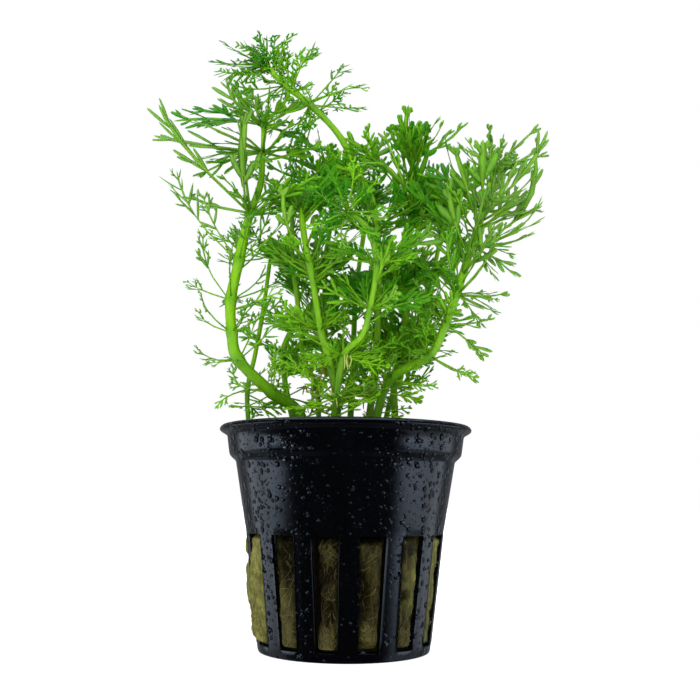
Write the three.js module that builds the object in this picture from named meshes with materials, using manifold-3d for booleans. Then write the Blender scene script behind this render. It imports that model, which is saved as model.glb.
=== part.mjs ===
// Potted giant ambulia: a black net pot, a plug of rock wool, eleven rooted stems and the
// whorls of leaves at their nodes. Millimetres, +Z up, the origin at the centre of the pot's
// underside, -Y towards the front of the plant.

import * as THREE from 'three';
import { mergeVertices } from 'three/addons/utils/BufferGeometryUtils.js';
import loadManifold from 'manifold-3d';

// Pot.
const potHeight = 46.4;
const potBaseRadius = 17.9;
const potRimRadius = 27;
const potWall = 1;
const potFloor = 1.2;
const potSides = 56;
const shoulderHeight = 38.9; // where the wall steps out to the collar
const collarRadius = 25.1;
const slotCount = 14;
const slotBottom = 1.9;
const slotTop = 23.9;
const slotWidthBottom = 4.2;
const slotWidthTop = 5.5;
const slotTurn = 15.4; // degrees from the front to the first slot on the right
const floorSlotInner = 6.5;
const floorSlotOuter = 14.5;
const floorSlotWidth = 2.4;

// Rock wool.
const woolTop = 36;
const woolSides = 28;
const gap = 0.3; // between pieces that touch

// Stems and leaves.
const stemSides = 6;
const ringSpacing = 7.5; // usual stretch of a stem between two of its rings
const footHeight = woolTop - 3;
const bladeThickness = 0.5;
const bladeWidths = [2.4, 1.6]; // the wider one where there is room for it
const broadWidths = [3.8, 2.4, 1.6];
const collarWall = 0.75; // of the ring that joins the leaves of a whorl
const leafClearance = 0.45; // free space kept around a leaf
const petalClearance = 0.2; // and between the leaves of one whorl
const nearRim = 47.3; // leaves over the rim stay above this

const potBlack = 0x101214;
const woolOlive = 0x8a8a3c;
const stemGreen = 0x6fae2a;
const leafGreen = 0x2f8a1c;

// Each stem: its route from the wool up, its radius at the foot and at the top, and its whorls
// from the bottom up. A whorl: at (height), count (leaves), length, rise (degrees above the plane
// square to the stem), and the tips of the leaves that reach out of the crowd.
const stems = [
  {
    name: 'tall_left', foot: 1.05, top: 0.8,
    route: [
      [-5, 5, 0], [-9.5, 3, 48], [-13.5, -1, 51.5], [-19.5, -6, 56.5], [-22.5, -8, 59.5],
      [-24, -9, 65], [-24.5, -9, 72.5], [-23, -9, 81], [-21.5, -8, 90], [-19, -6, 100],
      [-19, -5, 113],
    ],
    whorls: [
      { at: 53.5, count: 4, length: 9, rise: 35 },
      { at: 59.8, count: 5, length: 10, rise: 30, tips: [[-31, -12, 62], [-30, -2, 60]] },
      { at: 65.5, count: 5, length: 11, rise: 30, tips: [[-30, -14, 73], [-32, -4, 71]] },
      { at: 72.5, count: 6, length: 13, rise: 30, tips: [[-30, -13, 86], [-17, -15, 78]] },
      {
        at: 81, count: 6, length: 15, rise: 35,
        tips: [[-33, -18, 89], [-37, -9, 101], [-13, -17, 90], [-16, 4, 88]],
      },
      {
        at: 92, count: 6, length: 16, rise: 35, broad: true,
        tips: [[-40, -16, 113], [-23, -14, 111], [-36, 2, 99], [-12, -13, 103]],
      },
      {
        at: 106.5, count: 7, length: 17, rise: 30, broad: true,
        tips: [[-43, -6, 110], [-34, -19, 109], [-6, -13, 104.5], [-5, 0, 105]],
      },
      {
        at: 113.3, count: 7, length: 12, rise: 45, broad: true,
        tips: [[-28, 0, 126], [-22, -11, 119], [-22, 6, 125], [-35, 3, 119], [-13, -11, 117]],
      },
    ],
  },
  {
    name: 'arching', foot: 0.9, top: 0.65,
    route: [
      [4, 3, 0], [5, 4, 47.5], [6.5, 4, 59.5], [7, 3, 73], [7, 2, 86.5], [5.5, 0, 97.5],
      [2, -2, 104], [0, -3, 109], [-4.5, -5, 113.5], [-9, -6, 118], [-13.5, -7, 121],
      [-18.5, -8, 126],
    ],
    whorls: [
      { at: 61, count: 5, length: 11, rise: 25 },
      { at: 76, count: 6, length: 12, rise: 25 },
      { at: 92, count: 6, length: 13, rise: 25 },
      { at: 103.5, count: 6, length: 12, rise: 15, tips: [[4, -10, 111], [8, 5, 115]] },
      {
        at: 117.6, count: 6, length: 13, rise: 30,
        tips: [[-1, -2, 129], [4, -11, 119], [4, 6, 122], [-17, -15, 112], [-14, 2, 109]],
      },
      {
        at: 121.6, count: 6, length: 12, rise: 30,
        tips: [[-7, -12, 128], [-9, 2, 135], [-24, -17, 117], [-18, 6, 116]],
      },
      {
        at: 125.8, count: 6, length: 11, rise: 40,
        tips: [[-17, -4, 135], [-24, -15, 127], [-30, -1, 128], [-12, -14, 130], [-22, 5, 134]],
      },
    ],
  },
  {
    name: 'tall_right', foot: 1, top: 0.75,
    route: [
      [5, 0, 0], [6.5, 1, 47], [9, -1, 56], [13.5, -3, 58.5], [17, -5, 60.5], [20, -6.5, 65.5],
      [22, -7, 70.5], [24, -7, 76], [26, -6.5, 82.5], [28, -6, 88.5], [30.5, -5, 96],
      [33, -3, 105],
    ],
    whorls: [
      { at: 57, count: 5, length: 10, rise: 30, tips: [[10, -14, 60]] },
      { at: 61.5, count: 5, length: 10, rise: 20, tips: [[25, -13, 56.5], [24, 5, 64]] },
      { at: 68, count: 6, length: 11, rise: 30, tips: [[30, -13, 68.5], [29.5, -4, 61.5]] },
      {
        at: 74.5, count: 6, length: 13, rise: 35,
        tips: [[31, -13, 85], [33.5, -12, 74], [34, -2, 71.5]],
      },
      { at: 85, count: 6, length: 14, rise: 35, broad: true, tips: [[14, -13, 97]] },
      {
        at: 93.5, count: 6, length: 16, rise: 35, broad: true,
        tips: [[43, -11, 110], [44, 1, 97], [21, -15, 105]],
      },
      {
        at: 104.6, count: 7, length: 11, rise: 35, broad: true,
        tips: [[31, -8, 112], [36, 3, 115], [41, -10, 111], [44, 2, 112], [28, 4, 114]],
      },
    ],
  },
  {
    name: 'front_centre', foot: 0.85, top: 0.6,
    route: [
      [-3, -6, 0], [-2.5, -8.5, 46], [-2, -10, 51], [-2, -12, 56], [-0.5, -13, 60], [3, -15, 63.5],
      [5.5, -18, 72.5], [6, -19, 77.5], [5, -20, 81], [4, -22, 84.5], [2, -24, 85.5],
      [-0.5, -28, 86.2],
    ],
    whorls: [
      { at: 51.5, count: 4, length: 8, rise: 25 },
      { at: 60, count: 5, length: 10, rise: 25 },
      { at: 69, count: 5, length: 11, rise: 30 },
      { at: 78, count: 6, length: 12, rise: 25, tips: [[12, -27, 84]] },
      {
        at: 86.1, count: 8, length: 9, rise: 12,
        tips: [
          [-8, -29, 91], [-4, -31, 94], [1, -32, 95], [6, -31, 92], [8.5, -31, 86], [6, -33, 80],
          [0, -33, 77.5], [-7, -32, 81],
        ],
      },
    ],
  },
  {
    name: 'front_left', foot: 0.85, top: 0.65,
    route: [
      [-2, -4, 0], [-1.5, -4, 46.5], [-3, -5, 57], [-4, -6, 62.5], [-5.5, -7, 66.5],
      [-6.5, -8, 72.5], [-8, -9, 80.5], [-9, -9, 85], [-10, -9, 93],
    ],
    whorls: [
      { at: 58.5, count: 5, length: 10, rise: 25 },
      { at: 66.5, count: 6, length: 12, rise: 25 },
      { at: 80.5, count: 6, length: 13, rise: 30 },
      { at: 92.8, count: 6, length: 12, rise: 40, broad: true, tips: [[-14, -18, 99]] },
    ],
  },
  {
    name: 'mid_right', foot: 0.8, top: 0.6,
    route: [
      [9, 7, 0], [11, 8, 47.5], [11, 8, 61.5], [13, 9, 66], [13.5, 10, 74.5], [14, 10, 84],
      [14.5, 9, 93.5], [15, 8, 103], [15, 7, 110],
    ],
    whorls: [
      { at: 66, count: 6, length: 12, rise: 25 },
      { at: 82, count: 6, length: 13, rise: 25 },
      { at: 97, count: 6, length: 14, rise: 30, broad: true, tips: [[12, -6, 104]] },
      {
        at: 109.6, count: 8, length: 10, rise: 45, broad: true,
        tips: [
          [14, 4, 122], [17, 13, 122], [21, -2, 115], [27, 8, 119], [10, 9, 119], [9, 0, 114],
        ],
      },
    ],
  },
  {
    name: 'mid_left', foot: 0.75, top: 0.55,
    route: [
      [-8, 9, 0], [-12, 10, 47.5], [-14, 11, 57], [-14.5, 11, 65.5], [-11, 11, 72.5],
      [-8, 10, 76], [-5.5, 10, 85.5], [-4, 11, 96], [-3.5, 12, 105],
    ],
    whorls: [
      { at: 64.5, count: 5, length: 11, rise: 20 },
      { at: 81, count: 6, length: 13, rise: 25 },
      { at: 104.6, count: 7, length: 12, rise: 35, tips: [[-4, 22, 112], [4, 14, 113]] },
    ],
  },
  {
    name: 'rim_left', foot: 0.6, top: 0.5,
    route: [
      [-13, 5, 0], [-21.5, 5, 47], [-22, 5, 55], [-21, 6, 61], [-20, 7.5, 68],
      [-19, 9, 76.5], [-18, 10, 87],
    ],
    whorls: [
      { at: 55, count: 5, length: 8, rise: 15, tips: [[-28, 0.5, 50.5], [-26, 11, 61]] },
      { at: 86.6, count: 6, length: 13, rise: 25 },
    ],
  },
  {
    name: 'slender_left', foot: 0.6, top: 0.5,
    route: [
      [-6, 4, 0], [-6, 5, 47.5], [-7, 5, 57.5], [-9.5, 5, 62], [-10.5, 5, 70], [-11.5, 4, 77.5],
      [-12.5, 3, 86.5], [-12.5, 1, 99],
    ],
    whorls: [
      { at: 70, count: 5, length: 11, rise: 20 },
      { at: 98.6, count: 6, length: 12, rise: 35 },
    ],
  },
  {
    name: 'back_centre', foot: 0.75, top: 0.55,
    route: [
      [2, 13, 0], [1, 15, 48], [1.5, 18, 61.5], [2, 21, 79], [3.5, 22.5, 93], [5.5, 23, 106],
    ],
    whorls: [
      { at: 64, count: 6, length: 13, rise: 20, tips: [[0, 33, 66]] },
      { at: 84, count: 6, length: 14, rise: 25, tips: [[-10, 32, 92]] },
      { at: 105.6, count: 7, length: 12, rise: 35, tips: [[4, 33, 113], [14, 28, 114]] },
    ],
  },
  {
    name: 'back_right', foot: 0.7, top: 0.5,
    route: [
      [9, 11, 0], [9, 13, 48], [13, 17, 61.5], [18.5, 19, 76.5], [22, 19, 91], [24, 18, 101],
    ],
    whorls: [
      { at: 72, count: 6, length: 14, rise: 20, tips: [[28, 24, 74], [16, 32, 78]] },
      { at: 100.6, count: 7, length: 13, rise: 35, tips: [[34, 22, 107], [22, 30, 108]] },
    ],
  },
];

const wasm = await loadManifold();
wasm.setup();

function solidFrom(geometry) {
  const bare = geometry.clone();
  for (const extra of ['normal', 'uv']) bare.deleteAttribute(extra);
  const merged = mergeVertices(bare, 1e-5);
  const mesh = new wasm.Mesh({
    numProp: 3,
    vertProperties: new Float32Array(merged.attributes.position.array),
    triVerts: new Uint32Array(merged.index.array),
  });
  return new wasm.Manifold(mesh);
}

function geometryFrom(solid) {
  const mesh = solid.getMesh();
  const geometry = new THREE.BufferGeometry();
  geometry.setAttribute('position', new THREE.BufferAttribute(mesh.vertProperties, 3));
  geometry.setIndex(new THREE.BufferAttribute(mesh.triVerts, 1));
  return geometry;
}

function piece(name, geometry, colour, roughness) {
  const material = new THREE.MeshStandardMaterial({ color: colour, roughness, metalness: 0 });
  const mesh = new THREE.Mesh(geometry, material);
  mesh.name = name;
  return mesh;
}

// A round body turned about Z from a profile of [radius, height] points.
function turned(profile, sides) {
  const points = profile.map(([radius, height]) => new THREE.Vector2(radius, height));
  return new THREE.LatheGeometry(points, sides).rotateX(Math.PI / 2);
}

// The pot's outer radius at a height below the shoulder.
function wallRadius(height) {
  const slotHead = 20.8;
  const shoulder = 23.4;
  if (height < slotTop) return THREE.MathUtils.mapLinear(height, 0, slotTop, potBaseRadius, slotHead);
  return THREE.MathUtils.mapLinear(height, slotTop, shoulderHeight, slotHead, shoulder);
}

function potSolid() {
  const lipUnder = potHeight - 2.1;
  const lipTop = potHeight - 0.5;
  const profile = [
    [0, 0],
    [potBaseRadius, 0],
    [wallRadius(slotTop), slotTop],
    [wallRadius(shoulderHeight), shoulderHeight],
    [collarRadius - 0.3, shoulderHeight + 1.3],
    [collarRadius + 0.3, lipUnder],
    [potRimRadius - 0.2, lipTop - 0.5],
    [potRimRadius, lipTop],
    [potRimRadius - 0.7, potHeight],
    [collarRadius - 0.5, lipUnder],
    [collarRadius - 1.3, shoulderHeight + 2],
    [wallRadius(shoulderHeight) - potWall, shoulderHeight],
    [wallRadius(slotTop) - potWall, slotTop],
    [wallRadius(potFloor) - potWall, potFloor],
    [0, potFloor],
  ];
  let solid = solidFrom(turned(profile, potSides));

  const slot = new THREE.Shape([
    new THREE.Vector2(-slotWidthBottom / 2, slotBottom),
    new THREE.Vector2(slotWidthBottom / 2, slotBottom),
    new THREE.Vector2(slotWidthTop / 2, slotTop),
    new THREE.Vector2(-slotWidthTop / 2, slotTop),
  ]);
  const innerReach = potBaseRadius - 3;
  const slotCutter = new THREE.ExtrudeGeometry(slot, { depth: 9, bevelEnabled: false });
  slotCutter.rotateX(Math.PI / 2).translate(0, -innerReach, 0);
  const floorSlot = new THREE.BoxGeometry(floorSlotWidth, floorSlotOuter - floorSlotInner, 4);
  floorSlot.translate(0, -(floorSlotInner + floorSlotOuter) / 2, 0.6);
  for (let i = 0; i < slotCount; i += 1) {
    const turn = THREE.MathUtils.degToRad(slotTurn) + (i * 2 * Math.PI) / slotCount;
    solid = solid.subtract(solidFrom(slotCutter.clone().rotateZ(turn)));
    if (i % 2 === 0) solid = solid.subtract(solidFrom(floorSlot.clone().rotateZ(turn)));
  }
  return geometryFrom(solid);
}

// The plug fills the pot up to its top, and each stem has a socket in it.
function woolSolid(feet) {
  const inner = (height) => wallRadius(height) - potWall - gap;
  const plug = turned([
    [0, potFloor + gap],
    [inner(potFloor) - 1, potFloor + gap],
    [inner(potFloor + 2), potFloor + 2],
    [inner(slotTop), slotTop],
    [inner(woolTop - 2.5), woolTop - 2.5],
    [inner(woolTop) - 3, woolTop],
    [0, woolTop],
  ], woolSides);
  let solid = solidFrom(plug);
  for (const foot of feet) {
    const socket = [-gap, 2 * (woolTop - footHeight)].map((step) => ({
      ...foot,
      centre: foot.centre.clone().addScaledVector(foot.axis, step),
      radius: foot.radius + gap + 0.1,
    }));
    solid = solid.subtract(solidFrom(stemSolid({ rings: socket })));
  }
  return geometryFrom(solid);
}

// A stem's centre line from its foot in the wool, with its rings: one at the foot, one at each
// whorl, and more between them, about ringSpacing apart.
function growStem(stem) {
  const points = stem.route.map(([x, y, z]) => new THREE.Vector3(x, y, z));
  const [low, next] = points;
  points[0] = low.clone().lerp(next, (footHeight - low.z) / (next.z - low.z));
  const curve = new THREE.CatmullRomCurve3(points, false, 'catmullrom', 0.5);
  const shareAt = (height) => {
    let under = 0;
    let over = 1;
    for (let i = 0; i < 40; i += 1) {
      const middle = (under + over) / 2;
      if (curve.getPointAt(middle).z < height) under = middle;
      else over = middle;
    }
    return (under + over) / 2;
  };
  const crownHeight = stem.whorls.at(-1).at;
  const stops = [0, ...stem.whorls.map((whorl) => shareAt(whorl.at))];
  const length = curve.getLength();
  const shares = [0];
  for (let i = 1; i < stops.length; i += 1) {
    const pieces = Math.max(1, Math.round(((stops[i] - stops[i - 1]) * length) / ringSpacing));
    for (let k = 1; k <= pieces; k += 1) {
      shares.push(THREE.MathUtils.lerp(stops[i - 1], stops[i], k / pieces));
    }
  }
  const centres = shares.map((share) => curve.getPointAt(share));
  const rings = centres.map((centre, i) => {
    const before = centres[Math.max(i - 1, 0)];
    const after = centres[Math.min(i + 1, centres.length - 1)];
    const axis = after.clone().sub(before).normalize();
    const across = axis.clone().cross(new THREE.Vector3(1, 0, 0)).normalize();
    const along = across.clone().cross(axis);
    const radius = THREE.MathUtils.lerp(stem.foot, stem.top, i / (centres.length - 1));
    return { centre, axis, across, along, radius };
  });
  const ringAt = (height) => rings.reduce((best, ring) => (
    Math.abs(ring.centre.z - height) < Math.abs(best.centre.z - height) ? ring : best));
  return { rings, ringAt, crownHeight };
}

// A tapered cylinder whose rings are moved onto the rings of the stem.
function stemSolid({ rings }) {
  const spans = rings.length - 1;
  const geometry = new THREE.CylinderGeometry(1, 1, 1, stemSides, spans);
  const position = geometry.attributes.position;
  for (let i = 0; i < position.count; i += 1) {
    const ring = rings[Math.round((position.getY(i) + 0.5) * spans)];
    const point = ring.centre.clone()
      .addScaledVector(ring.across, position.getX(i) * ring.radius)
      .addScaledVector(ring.along, position.getZ(i) * ring.radius);
    position.setXYZ(i, point.x, point.y, point.z);
  }
  return geometry;
}

// A number from 0 to 1 that looks random but is the same every time.
function chance(seed) {
  const wave = Math.sin(seed * 12.9898) * 43758.5453;
  return wave - Math.floor(wave);
}

// A leaf's centre line: it leaves the stem outwards and bends towards its tip.
function leafLine(base, outward, tip, bend) {
  const chord = tip.clone().sub(base);
  const control = base.clone().addScaledVector(chord, 0.5)
    .addScaledVector(outward, bend * chord.length());
  return new THREE.QuadraticBezierCurve3(base, control, tip);
}

// The blade's half width at a share of its length.
function halfWidth(share, width) {
  const shoulder = 0.5;
  const foot = 0.5;
  if (share < shoulder) return THREE.MathUtils.lerp(width * foot, width, share / shoulder) / 2;
  return (width * (1 - share)) / (1 - shoulder) / 2;
}

const attempts = 120; // at placing a leaf before it is left out
const samples = [0, 0.16, 0.33, 0.5, 0.66, 0.83, 1];

function segmentGap(a, b, c, d) {
  // the least distance between the segments ab and cd, by clamped least squares
  const u = b.clone().sub(a);
  const v = d.clone().sub(c);
  const w = a.clone().sub(c);
  const uu = u.dot(u);
  const uv = u.dot(v);
  const vv = v.dot(v);
  const det = uu * vv - uv * uv;
  let s = det > 1e-9 ? (uv * v.dot(w) - vv * u.dot(w)) / det : 0.5;
  s = THREE.MathUtils.clamp(s, 0, 1);
  let t = THREE.MathUtils.clamp((uv * s + v.dot(w)) / vv, 0, 1);
  s = THREE.MathUtils.clamp((uv * t - u.dot(w)) / uu, 0, 1);
  t = THREE.MathUtils.clamp((uv * s + v.dot(w)) / vv, 0, 1);
  return w.addScaledVector(u, s).addScaledVector(v, -t).length();
}

// Everything that leaves keep clear of, as segments with a radius.
const taken = [];

// The blade's sideways direction at a share of the leaf: square to its line, and as near as can
// be to the ring's own direction where the leaf begins.
function sideAt({ line, across }, share) {
  return across.clone().projectOnPlane(line.getTangent(share)).normalize();
}

// A leaf is kept clear as three thin rods: its rib and, beside it, the two halves of the blade.
function segmentsOf(leaf) {
  const { line, width } = leaf;
  const rod = width / 6 + bladeThickness / 2;
  return [-1, 0, 1].flatMap((half) => {
    const points = samples.map((share) => {
      const out = half * Math.max(halfWidth(share, width) - rod / 2, 0);
      return line.getPoint(share).addScaledVector(sideAt(leaf, share), out);
    });
    return samples.slice(1).map((share, i) => ({
      start: points[i], end: points[i + 1], share, radius: rod,
    }));
  });
}

function isClear(segments, whorlId, stemName) {
  const freeOfPot = segments.every(({ end }) => {
    const reach = Math.hypot(end.x, end.y);
    if (reach > collarRadius - 3.5 && reach < potRimRadius + 2) return end.z > nearRim;
    return end.z > woolTop + 4;
  });
  if (!freeOfPot) return false;
  return segments.every((mine) => taken.every((other) => {
    const sameWhorl = other.whorlId === whorlId;
    if (sameWhorl && mine.share + other.share < 0.55) return true;
    if (other.isStem && other.stemName === stemName && mine.share < 0.4) return true;
    const clearance = sameWhorl ? petalClearance : leafClearance;
    const needed = mine.radius + other.radius + clearance;
    const farApart = needed + mine.start.distanceTo(mine.end) + other.start.distanceTo(other.end);
    if (mine.start.distanceTo(other.start) > farApart) return true;
    return segmentGap(mine.start, mine.end, other.start, other.end) > needed;
  }));
}

function take(segments, whorlId, stemName, isStem) {
  for (const segment of segments) taken.push({ ...segment, whorlId, stemName, isStem });
}

// Where a leaf that points straight out at an angle around the stem meets the whorl's ring.
function outwardAt(ring, turn) {
  return ring.across.clone().multiplyScalar(Math.sin(turn))
    .addScaledVector(ring.along, Math.cos(turn));
}

function turnOf(ring, direction) {
  return Math.atan2(direction.dot(ring.across), direction.dot(ring.along));
}

// The leaves of a whorl begin in even steps around its ring, in numbered places.
function turnOfPlace(whorl, place) {
  return whorl.phase + (place * 2 * Math.PI) / whorl.spec.count;
}

function makeLeaf(whorl, place, tip, width, bend) {
  const { ring, collar } = whorl;
  const outward = outwardAt(ring, turnOfPlace(whorl, place));
  const base = ring.centre.clone().addScaledVector(outward, collar);
  const across = ring.axis.clone().cross(outward);
  return { place, width, across, line: leafLine(base, outward, tip, bend) };
}

// Adds the leaf to its whorl if it is clear of everything that is there.
function tryLeaf(whorl, leaf) {
  const segments = segmentsOf(leaf);
  if (!isClear(segments, whorl.id, whorl.stem)) return false;
  take(segments, whorl.id, whorl.stem, false);
  whorl.leaves.push(leaf);
  return true;
}

// The leaves of a whorl: first those whose tips are given, each in the free place nearest to its
// own direction.
function placeReaching(whorl) {
  const { ring, spec } = whorl;
  for (const tip of spec.tips ?? []) {
    const target = new THREE.Vector3(...tip);
    const turn = turnOf(ring, target.clone().sub(ring.centre));
    const swing = (place) => Math.abs(THREE.MathUtils.euclideanModulo(
      turn - turnOfPlace(whorl, place) + Math.PI, 2 * Math.PI) - Math.PI);
    const [place] = whorl.free.sort((a, b) => swing(a) - swing(b));
    const placed = (spec.broad ? broadWidths : bladeWidths).some((width) => (
      tryLeaf(whorl, makeLeaf(whorl, place, target, width, 0.2))));
    if (placed) whorl.free.shift();
    else whorl.missed.push(tip);
  }
}

// Then one in each place left, turned, raised or shortened until it is clear of all that is there.
function placeFilling(whorl) {
  const { ring, collar, spec } = whorl;
  const widths = spec.broad ? broadWidths : bladeWidths;
  for (const place of whorl.free) {
    let placed = false;
    for (let attempt = 0; attempt < attempts && !placed; attempt += 1) {
      const swing = (attempt % 2 ? 1 : -1) * Math.ceil(attempt / 2) * 1.1;
      const turn = turnOfPlace(whorl, place) + THREE.MathUtils.degToRad(swing % 26);
      const lift = spec.rise + 34 * (chance(whorl.id * 31 + place * 7 + attempt) - 0.5);
      const shrink = 1 - (0.45 * attempt) / attempts;
      const length = spec.length * shrink * (0.86 + 0.28 * chance(whorl.id * 17 + place));
      const rise = THREE.MathUtils.degToRad(lift);
      const width = widths[Math.floor((attempt * widths.length) / attempts)];
      const tip = ring.centre.clone()
        .addScaledVector(outwardAt(ring, turn), collar + length * Math.cos(rise))
        .addScaledVector(ring.axis, length * Math.sin(rise));
      placed = tryLeaf(whorl, makeLeaf(whorl, place, tip, width, 0.1));
    }
    if (!placed) whorl.skipped += 1;
  }
}

// A whorl is a ring around the stem, or a disc where it crowns it, with a petal for each leaf:
// from the ring's two corners beside it to its shoulders, half way out, and on to its tip. Every
// point of this sheet is then doubled to give it its thickness, and walls close its edges.
function whorlSolid({ ring, collar, hole, leaves, spec, phase }) {
  const points = []; // each with the direction that its sheet faces
  const faces = [];
  const edges = [];
  const step = (2 * Math.PI) / spec.count;
  const around = (count, radius, start, way) => Array.from({ length: count }, (_, i) => {
    const turn = start + (way * i * 2 * Math.PI) / count;
    points.push({
      at: ring.centre.clone().addScaledVector(outwardAt(ring, phase + turn), radius),
      face: ring.axis,
    });
    return new THREE.Vector2(radius * Math.cos(turn), radius * Math.sin(turn));
  });
  const corners = around(spec.count, collar, -step / 2, 1);
  const rim = hole > 0 ? [around(stemSides, hole, 0, -1)] : [];
  faces.push(...THREE.ShapeUtils.triangulateShape(corners, rim));
  if (hole > 0) {
    for (let i = 0; i < stemSides; i += 1) {
      edges.push([spec.count + i, spec.count + ((i + 1) % stemSides)]);
    }
  }
  for (let place = 0; place < spec.count; place += 1) {
    const leaf = leaves.find((each) => each.place === place);
    const after = (place + 1) % spec.count;
    if (!leaf) {
      edges.push([place, after]);
      continue;
    }
    const first = points.length;
    for (const [share, out] of [[0.5, -leaf.width / 2], [1, 0], [0.5, leaf.width / 2]]) {
      const side = sideAt(leaf, share);
      points.push({
        at: leaf.line.getPoint(share).addScaledVector(side, out),
        face: leaf.line.getTangent(share).cross(side),
      });
    }
    const [low, tip, high] = [first, first + 1, first + 2];
    faces.push([place, low, high], [place, high, after], [low, tip, high]);
    edges.push([place, low], [low, tip], [tip, high], [high, after]);
  }
  const doubled = [0.5, -0.5].flatMap((half) => points.flatMap(({ at, face }) => (
    at.clone().addScaledVector(face, half * bladeThickness).toArray())));
  const under = (index) => index + points.length;
  const index = [
    ...faces.flatMap(([i, j, k]) => [i, j, k, under(k), under(j), under(i)]),
    ...edges.flatMap(([i, j]) => [under(i), under(j), j, under(i), j, i]),
  ];
  const geometry = new THREE.BufferGeometry();
  geometry.setAttribute('position', new THREE.Float32BufferAttribute(doubled, 3));
  geometry.setIndex(index);
  return geometry;
}

const plant = new THREE.Group();
plant.add(piece('net_pot', potSolid(), potBlack, 0.35));

const grown = stems.map((stem) => ({ stem, ...growStem(stem) }));
plant.add(piece('rock_wool', woolSolid(grown.map(({ rings }) => rings[0])), woolOlive, 0.95));
for (const { stem, rings } of grown) {
  rings.slice(1).forEach((ring, i) => {
    const radius = Math.max(ring.radius, rings[i].radius);
    const segment = { start: rings[i].centre, end: ring.centre, share: 1, radius };
    take([segment], -1, stem.name, true);
  });
}

const whorls = grown.flatMap(({ stem, ringAt, crownHeight }) => stem.whorls.map((spec, i) => {
  const ring = ringAt(spec.at);
  const crown = spec.at === crownHeight;
  const hole = crown ? 0 : ring.radius + gap + 0.1;
  const lifted = crown ? gap + bladeThickness / 2 : 0;
  const id = stems.indexOf(stem) * 10 + i + 1;
  const [firstTip] = spec.tips ?? [];
  const firstTurn = firstTip
    ? turnOf(ring, new THREE.Vector3(...firstTip).sub(ring.centre)) : chance(id) * 2 * Math.PI;
  return {
    spec,
    stem: stem.name,
    name: `leaves_${stem.name}_${i + 1}`,
    id,
    phase: firstTurn,
    free: Array.from({ length: spec.count }, (_, place) => place),
    ring: { ...ring, centre: ring.centre.clone().addScaledVector(ring.axis, lifted) },
    hole,
    collar: (crown ? ring.radius : hole) + collarWall,
    leaves: [],
    missed: [],
    skipped: 0,
  };
}));
whorls.forEach(placeReaching);
whorls.forEach(placeFilling);

for (const { stem, rings } of grown) {
  plant.add(piece(`stem_${stem.name}`, stemSolid({ rings }), stemGreen, 0.45));
}
for (const whorl of whorls) {
  plant.add(piece(whorl.name, whorlSolid(whorl), leafGreen, 0.5));
}

export default plant;
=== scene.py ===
import math

import bpy
import numpy as np
from mathutils import Matrix, Vector


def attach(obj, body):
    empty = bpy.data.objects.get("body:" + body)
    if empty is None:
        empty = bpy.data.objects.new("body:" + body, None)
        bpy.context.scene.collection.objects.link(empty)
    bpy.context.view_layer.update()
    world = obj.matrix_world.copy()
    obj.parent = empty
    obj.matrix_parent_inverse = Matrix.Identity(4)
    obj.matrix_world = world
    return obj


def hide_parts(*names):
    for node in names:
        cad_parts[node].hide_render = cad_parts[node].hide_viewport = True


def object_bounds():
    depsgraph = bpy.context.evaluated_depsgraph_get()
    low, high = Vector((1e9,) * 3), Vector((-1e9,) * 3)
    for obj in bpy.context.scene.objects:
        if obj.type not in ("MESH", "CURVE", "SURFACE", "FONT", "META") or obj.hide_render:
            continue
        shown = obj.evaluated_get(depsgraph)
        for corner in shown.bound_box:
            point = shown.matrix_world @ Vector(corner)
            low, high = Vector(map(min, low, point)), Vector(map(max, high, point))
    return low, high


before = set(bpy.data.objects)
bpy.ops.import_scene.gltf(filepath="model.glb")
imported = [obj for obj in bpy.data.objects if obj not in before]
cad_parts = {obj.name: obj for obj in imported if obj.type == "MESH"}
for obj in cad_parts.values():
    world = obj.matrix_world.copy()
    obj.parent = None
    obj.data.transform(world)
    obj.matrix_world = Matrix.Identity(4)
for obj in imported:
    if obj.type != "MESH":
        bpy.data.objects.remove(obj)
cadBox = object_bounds()
mm = 0.001
rng = np.random.default_rng(4217)
print("frame loaded,", len(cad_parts), "nodes")


# Camera, where the photograph was taken from: place in millimetres, pitch and roll in radians.
camera = {"place": (0.78, -203.4, 30.34), "pitch": 0.1609, "roll": 0.0084, "lens": 48.34}

cameraData = bpy.data.cameras.new("camera")
cameraData.lens = camera["lens"]
cameraData.sensor_width = 36
cameraData.clip_start = 0.01
cameraObject = bpy.data.objects.new("camera", cameraData)
bpy.context.scene.collection.objects.link(cameraObject)
cameraObject.matrix_world = (
    Matrix.Translation([value * mm for value in camera["place"]])
    @ Matrix.Rotation(math.pi / 2 + camera["pitch"], 4, "X")
    @ Matrix.Rotation(camera["roll"], 4, "Z")
)
bpy.context.scene.camera = cameraObject


# Shader maths: a wire is a socket that can be added, multiplied and so on.
class Wire:
    def __init__(self, finish, socket):
        self.finish = finish
        self.socket = socket

    def maths(self, operation, first, second):
        return self.finish.node("ShaderNodeMath", {"operation": operation}, (first, second))

    def __add__(self, other):
        return self.maths("ADD", self, other)

    def __sub__(self, other):
        return self.maths("SUBTRACT", self, other)

    def __rsub__(self, other):
        return self.maths("SUBTRACT", other, self)

    def __mul__(self, other):
        return self.maths("MULTIPLY", self, other)

    def __truediv__(self, other):
        return self.maths("DIVIDE", self, other)

    def __pow__(self, other):
        return self.maths("POWER", self, other)

    def atLeast(self, other):
        return self.maths("MAXIMUM", self, other)

    def atMost(self, other):
        return self.maths("MINIMUM", self, other)

    def __abs__(self):
        return self.maths("ABSOLUTE", self, 0.0)

    __radd__ = __add__
    __rmul__ = __mul__


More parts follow.
